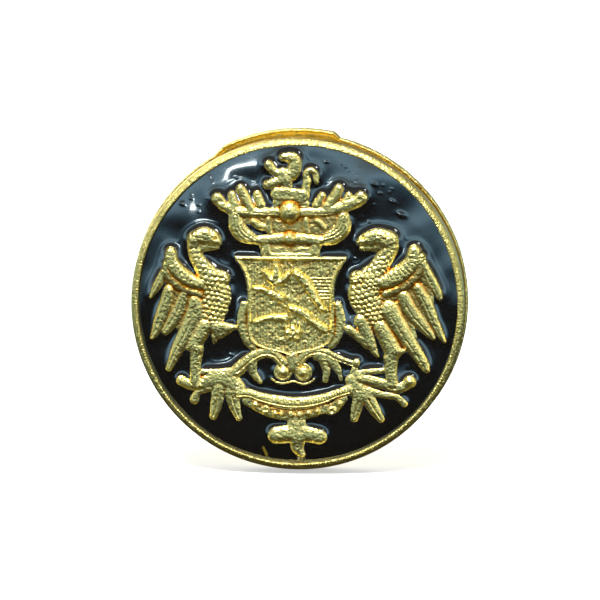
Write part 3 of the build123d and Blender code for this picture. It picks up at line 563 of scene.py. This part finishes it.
def block(name, cells, height, floor, step=1, painted_shade_and_tone=None):
    """A closed mesh over the chosen grid cells: its top follows the height, its underside is flat."""
    x, z, h = X[::step, ::step], Z[::step, ::step], height[::step, ::step]
    n = x.shape[1]
    row, col = np.nonzero(cells)
    first = row * n + col
    quads = np.stack([first, first + 1, first + n + 1, first + n], axis=1)
    used = np.unique(quads)
    new = np.full(x.size, -1)
    new[used] = np.arange(len(used))
    top = np.stack([x.ravel()[used], -(ground + h.ravel()[used]), z.ravel()[used]], axis=1)
    padded = np.pad(cells, 1)
    inner = padded[1:-1, 1:-1]
    edges = []
    for a, b, nb in ((0, 1, padded[:-2, 1:-1]), (1, 2, padded[1:-1, 2:]),
                     (2, 3, padded[2:, 1:-1]), (3, 0, padded[1:-1, :-2])):
        open_side = (inner & ~nb)[row, col]
        edges.append(quads[open_side][:, [a, b]])
    edges = new[np.concatenate(edges)]
    rim_points = np.unique(edges)
    low = np.full(len(used), -1)
    low[rim_points] = len(used) + np.arange(len(rim_points))
    foot = top[rim_points].copy()
    foot[:, 1] = -(ground + floor)
    skirt = np.stack([edges[:, 1], edges[:, 0], low[edges[:, 0]], low[edges[:, 1]]], axis=1)
    points = np.concatenate([top, foot]) * MM
    faces = np.concatenate([new[quads], skirt])
    mesh = bpy.data.meshes.new(name)
    mesh.vertices.add(len(points))
    mesh.vertices.foreach_set("co", points.astype(np.float32).ravel())
    mesh.loops.add(faces.size)
    mesh.loops.foreach_set("vertex_index", faces.astype(np.int32).ravel())
    mesh.polygons.add(len(faces))
    mesh.polygons.foreach_set("loop_start", np.arange(0, faces.size, 4, dtype=np.int32))
    mesh.update(calc_edges=True)
    bm = bmesh.new()
    bm.from_mesh(mesh)
    bm.faces.ensure_lookup_table()
    for face in bm.faces[:len(quads)]:
        face.smooth = True
    loose = [e for e in bm.edges if len(e.link_faces) == 1]
    bmesh.ops.triangle_fill(bm, edges=loose, use_beauty=False, normal=(0, 1, 0))
    bm.to_mesh(mesh)
    bm.free()
    if painted_shade_and_tone is not None:
        top_painted_shade = painted_shade_and_tone[::step, ::step].ravel()[used]
        add_painted_shade(mesh, np.concatenate([top_painted_shade, top_painted_shade[rim_points]]))
    return mesh


def cells_of(mask):
    """Cells with all four corners in the mask."""
    return mask[:-1, :-1] & mask[1:, :-1] & mask[:-1, 1:] & mask[1:, 1:]


def cell_labels(field):
    """Each cell goes to the label of its lower left corner, if all its corners are on the relief."""
    whole = cells_of(field > 0)
    return np.where(whole, field[:-1, :-1], 0)


# ---- materials ----


def material(name):
    made = bpy.data.materials.new(name)
    made.use_nodes = True
    tree = made.node_tree
    shader = tree.nodes["Principled BSDF"]
    return made, tree, shader


def node(tree, kind, **values):
    made = tree.nodes.new(kind)
    for key, value in values.items():
        if key in made.inputs:
            made.inputs[key].default_value = value
        else:
            setattr(made, key, value)
    return made


def ramp(tree, stops):
    made = tree.nodes.new("ShaderNodeValToRGB")
    elements = made.color_ramp.elements
    while len(elements) < len(stops):
        elements.new(0.5)
    for element, (at, colour) in zip(elements, stops):
        element.position = at
        element.color = (*colour, 1) if len(colour) == 3 else colour
    return made


GILT_BUMP = 0.00004         # metres, for a bump scale of 1
BLOTCH_SHARE = 0.6          # how far blotches go from pale to deep


def gilt(name, pale, deep, rough, use_painted_shade, bump_scale=1.0):
    """Metal between two colours by random blotches and, where asked, by the mesh's painted shade, with a fine cast
    grain.
    """
    made, tree, shader = material(name)
    link = tree.links.new
    shader.inputs["Metallic"].default_value = 1.0
    where = node(tree, "ShaderNodeTexCoord")
    blotch = node(tree, "ShaderNodeTexNoise", Scale=900.0, Detail=3.0)
    speck = node(tree, "ShaderNodeTexNoise", Scale=4200.0, Detail=2.0)
    link(where.outputs["Object"], blotch.inputs["Vector"])
    link(where.outputs["Object"], speck.inputs["Vector"])
    tone = node(tree, "ShaderNodeMath", operation="MULTIPLY_ADD")
    link(blotch.outputs["Fac"], tone.inputs[0])
    tone.inputs[1].default_value = BLOTCH_SHARE
    tone.inputs[2].default_value = -BLOTCH_SHARE / 2
    # the attribute paints shade: the deep colour goes into hollows and grooves, where shade falls
    if use_painted_shade:
        painted_shade_and_tone = node(tree, "ShaderNodeAttribute", attribute_name="painted_shade_and_tone")
        link(painted_shade_and_tone.outputs["Fac"], tone.inputs[2])
    colours = ramp(tree, [(0.0, pale), (0.35, pale), (1.0, deep)])
    link(tone.outputs[0], colours.inputs["Fac"])
    link(colours.outputs["Color"], shader.inputs["Base Color"])
    roughs = node(tree, "ShaderNodeMapRange")
    roughs.inputs["To Min"].default_value = rough - 0.08
    roughs.inputs["To Max"].default_value = rough + 0.14
    link(speck.outputs["Fac"], roughs.inputs["Value"])
    link(roughs.outputs["Result"], shader.inputs["Roughness"])
    bump = node(tree, "ShaderNodeBump", Strength=0.8, Distance=GILT_BUMP * bump_scale)
    link(speck.outputs["Fac"], bump.inputs["Height"])
    link(bump.outputs["Normal"], shader.inputs["Normal"])
    return made


relief_gold = gilt("relief_gold", (0.97, 0.83, 0.31), (0.58, 0.22, 0.01), 0.28, True, 3.0)
rim_gold = gilt("rim_gold", (0.90, 0.77, 0.27), (0.46, 0.32, 0.04), 0.30, True, 4.5)
# a dark brown gilt for the front shell: painted shade for the groove by the rim
painted_shade_gold = gilt("painted_shade_gold", (0.42, 0.27, 0.03), (0.30, 0.17, 0.02), 0.42, False, 1.4)

enamel, tree, shader = material("black_enamel")
shader.inputs["Base Color"].default_value = (0.003, 0.003, 0.0035, 1)
shader.inputs["Roughness"].default_value = 0.07
shader.inputs["Coat Weight"].default_value = 1.0
shader.inputs["Coat Roughness"].default_value = 0.05
shader.inputs["Coat IOR"].default_value = 1.7
shader.inputs["IOR"].default_value = 1.6
where = node(tree, "ShaderNodeTexCoord")
ripple = node(tree, "ShaderNodeTexNoise", Scale=420.0, Detail=2.0)
tree.links.new(where.outputs["Object"], ripple.inputs["Vector"])
bump = node(tree, "ShaderNodeBump", Strength=0.12, Distance=0.0001)
tree.links.new(ripple.outputs["Fac"], bump.inputs["Height"])
tree.links.new(bump.outputs["Normal"], shader.inputs["Normal"])

# ---- relief, charges and enamel pieces ----

LOW = 0.85                  # relief below this height gets painted shade, browner and darker
COVERT_TOP = 0.97
# Painted shade on the relief: deeper colour in hollows and on low parts, paler on crests, and deeper still in the
# covert bands under the wing arms.
hollow = np.clip((blur(H, 0.3) - H) / 0.28, -1, 1)
deep = 0.08 + 1.2 * hollow + 0.5 * (LOW - H)
for name in ("left_bird", "right_bird"):
    for from_rise, to_rise, style, points in relief[name]:
        if style == "covert":
            win, u, s, v, length = follow(points)
            deep[win] += 0.35 * np.clip(1.3 - u, 0, 1) * (H[win] < COVERT_TOP)
deep = np.clip(deep, 0, 1)
labels = cell_labels(label)
for k, name in enumerate(names, start=1):
    mesh = block(f"{name}_relief", labels == k, H, 0.0, painted_shade_and_tone=deep)
    add_piece(f"{name}_relief", mesh, relief_gold, "badge", "gilt_relief", name)

CHARGE_SUNK = 0.28          # the charges' flat undersides are this far inside the shield
charge_cells = cell_labels(charge_label)
for k, name in enumerate(charges, start=1):
    mesh = block(f"{name}_relief", charge_cells == k, C, shield_h - CHARGE_SUNK, painted_shade_and_tone=np.zeros(X.shape))
    add_piece(f"{name}_relief", mesh, relief_gold, "badge", "gilt_relief", name)

POOL_STEP = 2               # the enamel's mesh takes every second grid line
POOL_SUNK = 0.02            # and goes this far into the relief's flanks
sub = ((E > H - POOL_SUNK) & (R < field_r))[::POOL_STEP, ::POOL_STEP]
pool_cells = sub[:-1, :-1] | sub[1:, :-1] | sub[:-1, 1:] | sub[1:, 1:]
pools = [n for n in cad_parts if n.startswith("enamel_")]
mesh = block("enamel_fill", pool_cells, E, 0.0, step=POOL_STEP)
add_piece("enamel_fill", mesh, enamel, "badge", "black_enamel", *pools)

# ---- rim: reeded on its inner edge, with a pitted crest ----


def turned_mesh(name, profile, count, shift=None):
    """A ring turned from (radius, level) corners; shift(angle, radius, level) moves its points."""
    angles = np.arange(count) * 2 * math.pi / count
    r = np.array([p[0] for p in profile])
    level = np.array([p[1] for p in profile])
    A, Rr = np.meshgrid(angles, r, indexing="ij")
    L = np.broadcast_to(level, A.shape).copy()
    Rr = Rr.copy()
    if shift:
        Rr, L = shift(A, Rr, L)
    points = np.stack([Rr * np.cos(A), -L, Rr * np.sin(A)], axis=-1).reshape(-1, 3) * MM
    m = len(profile)
    i, j = np.meshgrid(np.arange(count), np.arange(m), indexing="ij")
    i2, j2 = (i + 1) % count, (j + 1) % m
    faces = np.stack([i * m + j, i2 * m + j, i2 * m + j2, i * m + j2], axis=-1).reshape(-1, 4)
    mesh = bpy.data.meshes.new(name)
    mesh.from_pydata([tuple(p) for p in points], [], [tuple(f) for f in faces.tolist()])
    bm = bmesh.new()
    bm.from_mesh(mesh)
    if min(r) == 0:
        bmesh.ops.remove_doubles(bm, verts=bm.verts, dist=1e-7)
        bmesh.ops.dissolve_degenerate(bm, edges=bm.edges, dist=1e-7)
    bmesh.ops.recalc_face_normals(bm, faces=bm.faces)
    for face in bm.faces:
        face.smooth = True
    bm.to_mesh(mesh)
    bm.free()
    return mesh


def arc_points(corners, each):
    """Corners joined by evenly spaced points."""
    out = []
    for (r0, l0), (r1, l1) in zip(corners, corners[1:] + corners[:1]):
        out += [(r0 + (r1 - r0) * t / each, l0 + (l1 - l0) * t / each) for t in range(each)]
    return out


def skin(count, rows, around, across):
    """Smooth noise of unit spread over a turned mesh's points."""
    waves = np.fft.fft2(skin_random.standard_normal((count, rows)))
    fa, fb = np.fft.fftfreq(count)[:, None], np.fft.fftfreq(rows)[None, :]
    smooth = np.fft.ifft2(waves * np.exp(-(fa * around) ** 2 - (fb * across) ** 2)).real
    return smooth / smooth.std()


profile = arc_points([
    (field_r, rim_back), (rim_r - 0.1, rim_back), (rim_r, rim_back + 0.1), (rim_r, rim_front - 0.56),
    (rim_r - 0.05, rim_front - 0.38), (rim_r - 0.17, rim_front - 0.20), (field_r + 0.2, rim_front - 0.06),
    (field_r + 0.07, rim_front - 0.01), (field_r - 0.03, rim_front - 0.12), (field_r - 0.03, rim_front - 0.3)], 4)
skin_random = np.random.default_rng(5)
RIM_COUNT, REEDS = 2160, 360
OUTER_SHADE, CREST_SHADE = 0.9, 0.0
rim_skin = skin(RIM_COUNT, len(profile), 3, 2)


def rim_shift(A, Rr, L):
    front_part = np.clip((L - (rim_front - 0.6)) / 0.2, 0, 1)
    inner = np.clip((field_r + 0.3 - Rr) / 0.2, 0, 1) * front_part
    reed = 0.5 + 0.5 * np.cos(A * REEDS)
    L = L - 0.035 * inner * (1 - reed) - 0.026 * np.abs(rim_skin) * front_part
    Rr = Rr + 0.02 * inner * (1 - reed)
    return Rr, L


mesh = turned_mesh("rim_ring_cast", profile, RIM_COUNT, rim_shift)
# Painted shade: the rim's outer wall, beside the groove, gets the deep colour and the crest stays pale, with a
# little random tone on top.
painted_groove_shade = np.array([OUTER_SHADE if r > rim_r - 0.01 else CREST_SHADE for r, level in profile])
add_painted_shade(mesh, np.tile(painted_groove_shade, (RIM_COUNT, 1)) + 0.12 * rim_skin)
add_piece("rim_ring_cast", mesh, rim_gold, "badge", "gilt_shell", "rim_ring")

# ---- back plate: stamped, with a beaded lip and a casting tab ----

lip_r = -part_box("back_plate")[0].x / MM
tab_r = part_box("back_plate")[1].z / MM
lip_front = front("back_plate")
POST_HEAD = 0.6             # thickness of the post's head
plate_front = front("screw_post") - POST_HEAD
post_r = 1.5
TAB_FROM, TAB_TO = 76.0, 121.0      # degrees, from the right round by the top
STAMP_RINGS = [(12.6, 0.10, 1.0), (10.6, 0.08, 1.0), (4.2, 0.08, 0.8)]      # radius, width, share of depth
STAMP_RAYS, RAY_FROM, RAY_TO = 120, 10.9, 12.2
STAMP_DEEP, RAY_DEEP = 0.07, 0.05
face = [(r, 0.0) for r in np.linspace(post_r, lip_r - 0.3, 72)]
lip = arc_points([(lip_r - 0.2, 0.0), (lip_r - 0.06, 0.05), (lip_r, 0.18), (lip_r, lip_front - 0.25),
                  (lip_r - 0.07, lip_front - 0.06), (lip_r - 0.16, lip_front), (lip_r - 0.26, lip_front - 0.07),
                  (lip_r - 0.31, plate_front + 0.05), (lip_r - 0.45, plate_front)], 3)[:-3]
front_face = [(r, plate_front) for r in (14.0, 8.0, 3.5, post_r)]
profile = face + lip + front_face
PLATE_COUNT = 720
lip_skin = skin(PLATE_COUNT, len(profile), 6, 2)


def plate_shift(A, Rr, L):
    degrees = np.degrees(A)
    tab = np.clip((degrees - TAB_FROM) / 2.5, 0, 1) * np.clip((TAB_TO - degrees) / 5.0, 0, 1)
    outward = np.clip((Rr - (lip_r - 0.5)) / 0.22, 0, 1)
    back_face = L < 0.01
    stamp = sum(share * groove(Rr, r, width) for r, width, share in STAMP_RINGS)
    rays = (0.5 - 0.5 * np.cos(A * STAMP_RAYS)) * np.clip((Rr - RAY_FROM) / 0.2, 0, 1)
    rays *= np.clip((RAY_TO - Rr) / 0.2, 0, 1)
    L = L + np.where(back_face, STAMP_DEEP * stamp + RAY_DEEP * rays, 0)
    L = L + np.where(back_face, 0, 0.012 * lip_skin * outward)
    Rr = Rr + (tab_r - lip_r) * tab * outward - 0.02 * np.abs(lip_skin) * outward
    return Rr, L


mesh = turned_mesh("back_plate_stamped", profile, PLATE_COUNT, plate_shift)
# Painted shade: the plate's front face, seen as the groove inside the lip, gets the deep colour; the lip stays
# pale, with a little random tone on top.
GROOVE_SHADE, LIP_SHADE = 0.6, 0.05
painted_groove_shade = np.array([GROOVE_SHADE if r < lip_r - 0.4 and level > 0.3 else LIP_SHADE for r, level in profile])
add_painted_shade(mesh, np.tile(painted_groove_shade, (PLATE_COUNT, 1)) + 0.08 * lip_skin)
add_piece("back_plate_stamped", mesh, rim_gold, "badge", "gilt_shell", "back_plate")

# ---- screw post, pins, washer and nut ----

THREAD = 0.5                # pitch of the M3 thread
THREAD_DEEP, BORE_DEEP = 0.24, 0.2
HEAD_R = 3.0                # post's head
fixing_brass = gilt("fixing_brass", (0.86, 0.68, 0.30), (0.62, 0.44, 0.16), 0.28, False)
nut_brass = gilt("nut_brass", (0.90, 0.74, 0.36), (0.66, 0.48, 0.20), 0.27, False)
post_end = back("screw_post")
head_top = plate_front + POST_HEAD
post_profile = arc_points([(0, head_top), (HEAD_R - 0.1, head_top), (HEAD_R, head_top - 0.1),
                           (HEAD_R, plate_front + 0.05), (HEAD_R - 0.05, plate_front),
                           (post_r, plate_front)], 3)[:-3]
post_profile += [(post_r, level) for level in np.arange(plate_front, post_end + 0.3, -THREAD / 10)]
post_profile += [(post_r, post_end + 0.3), (post_r - 0.15, post_end + 0.15), (post_r - 0.3, post_end),
                 (0.6, post_end), (0.25, post_end + 0.12), (0, post_end + 0.15)]


def thread_wave(A, L):
    """0 on the thread's crest and 1 at its root, climbing one pitch a turn."""
    return 1 - np.abs(2 * ((L / THREAD + A / (2 * math.pi)) % 1) - 1)


def post_shift(A, Rr, L):
    depth = THREAD_DEEP * np.clip((-0.15 - L) / 0.4, 0, 1) * np.clip((L - post_end - 0.2) / 0.3, 0, 1)
    return Rr - depth * thread_wave(A, L) * (Rr > post_r - 0.01), L


POST_SIDES = 72
mesh = turned_mesh("screw_post_threaded", post_profile, POST_SIDES, post_shift)
add_piece("screw_post_threaded", mesh, fixing_brass, "badge", "fixing_brass", "screw_post")

ROOT_R, ROOT_TOP = 0.7, 1.0     # pins' thicker roots
PIN_R, PIN_SIDES = 0.5, 48
pin_low, pin_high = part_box("locating_pins")
pin_x = (pin_high.x - pin_low.x) / 2 / MM - ROOT_R
pin_end = back("locating_pins")
pin_profile = arc_points([(0, ROOT_TOP), (ROOT_R - 0.08, ROOT_TOP), (ROOT_R, ROOT_TOP - 0.08), (ROOT_R, -0.004),
                          (ROOT_R - 0.1, -0.008), (PIN_R, -0.1), (PIN_R - 0.03, -0.2), (PIN_R, -0.3),
                          (PIN_R, pin_end + 0.15), (PIN_R - 0.15, pin_end), (0, pin_end)], 2)[:-2]
bm = bmesh.new()
for side_x in (-pin_x, pin_x):
    one = turned_mesh("pin", pin_profile, PIN_SIDES)
    one.transform(Matrix.Translation((side_x * MM, 0, 0)))
    bm.from_mesh(one)
    bpy.data.meshes.remove(one)
pins = bpy.data.meshes.new("locating_pins_turned")
bm.to_mesh(pins)
bm.free()
add_piece("locating_pins_turned", pins, fixing_brass, "badge", "fixing_brass", "locating_pins")

WASHER_BORE, WASHER_WAVE, WASHER_SIDES = 1.7, 0.74, 240
washer_r, washer_near, washer_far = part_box("washer")[1].x / MM, front("washer"), back("washer")
washer_profile = arc_points([
    (WASHER_BORE, washer_near - 0.05), (WASHER_BORE + 0.06, washer_near), (washer_r - 0.1, washer_near),
    (washer_r, washer_near - 0.1), (washer_r, washer_far + 0.1), (washer_r - 0.1, washer_far),
    (WASHER_BORE + 0.06, washer_far), (WASHER_BORE, washer_far + 0.05)], 10)


def washer_shift(A, Rr, L):
    inward = np.where(L > (washer_near + washer_far) / 2, -1, 1)
    flat = np.clip((Rr - WASHER_BORE - 0.1) / 0.2, 0, 1) * np.clip((washer_r - 0.2 - Rr) / 0.2, 0, 1)
    return Rr, L + inward * flat * 0.02 * (1 - np.cos(2 * math.pi * Rr / WASHER_WAVE))


mesh = turned_mesh("washer_pressed", washer_profile, WASHER_SIDES, washer_shift)
add_piece("washer_pressed", mesh, nut_brass, "washer", "nut_brass", "washer")

NOTCHES, NOTCH_R = 24, 0.45
DISC_RIBS, RIB_FROM, RIB_TO, RIB_DEEP = 72, 4.5, 6.0, 0.07
DISC_SIDES = 864
BUSH_R = 2.6                # where the disc is pressed on
nut_r = 7.5                 # between the notches: one of them cuts the CAD box's side
nut_near, nut_far = front("nut_disc"), back("nut_disc")
disc_profile = [(r, nut_far) for r in np.linspace(BUSH_R, nut_r - 0.15, 44)]
disc_profile += [(nut_r - 0.06, nut_far + 0.02), (nut_r, nut_far + 0.1), (nut_r, (nut_far + nut_near) / 2),
                 (nut_r, nut_near - 0.1), (nut_r - 0.06, nut_near - 0.02)]
disc_profile += [(r, nut_near) for r in np.linspace(nut_r - 0.15, BUSH_R, 12)]


def nut_shift(A, Rr, L):
    pitch = 2 * math.pi / NOTCHES
    off = nut_r * np.sin((A + pitch / 2) % pitch - pitch / 2)
    bite = np.sqrt(np.maximum(0, NOTCH_R ** 2 - off ** 2))
    edge = np.clip((Rr - (nut_r - 1.2)) / 1.2, 0, 1)
    back_face = L < nut_far + 0.01
    ribs = (0.5 - 0.5 * np.cos(A * DISC_RIBS)) * np.clip((Rr - RIB_FROM) / 0.15, 0, 1)
    ribs *= np.clip((RIB_TO - Rr) / 0.15, 0, 1)
    rings = groove(Rr, RIB_FROM - 0.4, 0.1) + groove(Rr, RIB_TO + 0.35, 0.1)
    return Rr - bite * edge, L + np.where(back_face, 0.08 * rings + RIB_DEEP * ribs, 0)


mesh = turned_mesh("nut_disc_stamped", disc_profile, DISC_SIDES, nut_shift)
add_piece("nut_disc_stamped", mesh, nut_brass, "nut", "nut_brass", "nut_disc")

BORE_R, MOUTH_R = 1.55, 1.78
BUSH_RIBS, BUSH_SIDES = 36, 288
bush_near, bush_far, bush_r = front("nut_bush"), back("nut_bush"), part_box("nut_bush")[1].x / MM
bush_profile = arc_points([
    (BORE_R, bush_near), (BUSH_R, bush_near), (BUSH_R, nut_far), (bush_r - 0.08, nut_far),
    (bush_r, nut_far - 0.08), (bush_r, bush_far + 0.2), (bush_r - 0.2, bush_far), (MOUTH_R, bush_far)], 6)[:-6]
bush_profile += [(MOUTH_R, bush_far)]
bush_profile += [(BORE_R, level) for level in np.arange(bush_far + 0.2, bush_near, THREAD / 10)]


def bush_shift(A, Rr, L):
    bore = (Rr < BORE_R + 0.01) * np.clip((bush_near - 0.1 - L) / 0.2, 0, 1)
    grip = np.clip((Rr - (bush_r - 0.1)) / 0.05, 0, 1) * (L < nut_far - 0.2) * (L > bush_far + 0.3)
    grip = 0.09 * grip * (0.5 - 0.5 * np.cos(A * BUSH_RIBS))
    return Rr + BORE_DEEP * bore * (1 - thread_wave(A, L)) - grip, L


mesh = turned_mesh("nut_bush_threaded", bush_profile, BUSH_SIDES, bush_shift)
add_piece("nut_bush_threaded", mesh, nut_brass, "nut", "nut_brass", "nut_bush")

card, tree, shader = material("packing_card")
fibres = node(tree, "ShaderNodeTexNoise", Scale=1500.0, Detail=4.0)
where = node(tree, "ShaderNodeTexCoord")
tree.links.new(where.outputs["Object"], fibres.inputs["Vector"])
shades = ramp(tree, [(0.3, (0.30, 0.23, 0.15)), (0.7, (0.52, 0.42, 0.31))])
tree.links.new(fibres.outputs["Fac"], shades.inputs["Fac"])
tree.links.new(shades.outputs["Color"], shader.inputs["Base Color"])
shader.inputs["Roughness"].default_value = 0.85

# These two CAD solids have the right shape and stay.
# The front shell's dark brown gilt is painted shade: its walls show as the groove between rim and lip.
for name, finish in (("front_shell", painted_shade_gold), ("packing_disc", card)):
    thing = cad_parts[name]
    thing.data.materials.clear()
    thing.data.materials.append(finish)

# ---- floor, lights and camera ----

FLOOR_HALF, FLOOR_GAP = 1.5, 0.0002
low = cad_box[0].z - FLOOR_GAP
corners = [(-FLOOR_HALF, -FLOOR_HALF, low), (FLOOR_HALF, -FLOOR_HALF, low),
           (FLOOR_HALF, FLOOR_HALF, low), (-FLOOR_HALF, FLOOR_HALF, low)]
floor_mesh = bpy.data.meshes.new("floor")
floor_mesh.from_pydata(corners, [], [(0, 1, 2, 3)])
pale, tree, shader = material("pale_floor")
shader.inputs["Base Color"].default_value = (0.9, 0.9, 0.9, 1)
shader.inputs["Roughness"].default_value = 0.9
shader.inputs["Emission Color"].default_value = (1, 1, 1, 1)
shader.inputs["Emission Strength"].default_value = 0.5
floor = new_object("floor", floor_mesh, pale)
floor.visible_glossy = False


def softbox(name, place, width, height, power, colour=(1, 1, 1)):
    """A rectangular lamp aimed at the badge."""
    lamp = bpy.data.lights.new(name, "AREA")
    lamp.shape = "RECTANGLE"
    lamp.size, lamp.size_y = width, height
    lamp.energy = power
    lamp.color = colour
    made = bpy.data.objects.new(name, lamp)
    bpy.context.collection.objects.link(made)
    made.location = place
    made.rotation_mode = "QUATERNION"
    made.rotation_quaternion = (-Vector(place)).to_track_quat("-Z", "Y")


WARM = (1.0, 0.97, 0.8)
softbox("strip", (-0.076, -0.60, -0.006), 0.042, 0.010, 0.03, (0.9, 1.0, 1.0))
softbox("key", (-0.05, -0.30, 0.46), 0.26, 0.16, 3.4)
softbox("lamp", (0.16, -0.54, 0.21), 0.05, 0.04, 0.12)
softbox("left", (-0.52, -0.30, 0.16), 0.25, 0.30, 0.16, WARM)
softbox("right", (0.52, -0.30, 0.18), 0.25, 0.30, 0.60, WARM)
softbox("back", (-0.30, 0.46, 0.26), 0.40, 0.40, 1.6, (1.0, 0.95, 0.86))

# The camera sees a white room. Everything else is lit by, and mirrors, one that is graded with height.
world = bpy.data.worlds.new("studio")
bpy.context.scene.world = world
world.use_nodes = True
tree = world.node_tree
tree.nodes.clear()
out = tree.nodes.new("ShaderNodeOutputWorld")
mix = tree.nodes.new("ShaderNodeMixShader")
path = tree.nodes.new("ShaderNodeLightPath")
white = node(tree, "ShaderNodeBackground", Color=(1, 1, 1, 1), Strength=1.0)
room = node(tree, "ShaderNodeBackground", Strength=1.0)
where = tree.nodes.new("ShaderNodeTexCoord")
split = tree.nodes.new("ShaderNodeSeparateXYZ")
shades = ramp(tree, [(0.0, (0.05, 0.04, 0.015)), (0.38, (0.03, 0.026, 0.014)), (0.44, (0.04, 0.045, 0.045)),
                     (0.465, (0.17, 0.33, 0.43)), (0.50, (0.90, 1.5, 1.85)), (0.54, (0.6, 0.8, 0.85)),
                     (0.60, (0.16, 0.16, 0.14)), (0.85, (0.35, 0.34, 0.3)), (1.0, (0.7, 0.7, 0.65))])
rise = node(tree, "ShaderNodeMapRange")
rise.inputs["From Min"].default_value = -1
tree.links.new(where.outputs["Generated"], split.inputs[0])
tree.links.new(split.outputs["Z"], rise.inputs["Value"])
tree.links.new(rise.outputs["Result"], shades.inputs["Fac"])
tree.links.new(shades.outputs["Color"], room.inputs["Color"])
tree.links.new(path.outputs["Is Camera Ray"], mix.inputs["Fac"])
tree.links.new(room.outputs[0], mix.inputs[1])
tree.links.new(white.outputs[0], mix.inputs[2])
tree.links.new(mix.outputs[0], out.inputs["Surface"])

bpy.context.scene.view_settings.view_transform = "Standard"

AZIMUTH, ELEVATION = 4.0, 8.0
FRAME_WIDTH = 0.0539        # seen at the badge
DISTANCE = 0.5
SENSOR = 36
aim = Vector((0.00018, -ground * MM, 0.00034))
lens = bpy.data.cameras.new("camera")
lens.sensor_width = SENSOR
lens.lens = SENSOR * DISTANCE / FRAME_WIDTH
lens.clip_start, lens.clip_end = 0.01, 10
camera = bpy.data.objects.new("camera", lens)
bpy.context.collection.objects.link(camera)
a, e = math.radians(AZIMUTH), math.radians(ELEVATION)
away = Vector((math.sin(a) * math.cos(e), -math.cos(a) * math.cos(e), math.sin(e)))
camera.location = aim + away * DISTANCE
camera.rotation_mode = "QUATERNION"
camera.rotation_quaternion = (-away).to_track_quat("-Z", "Y")
bpy.context.scene.camera = camera
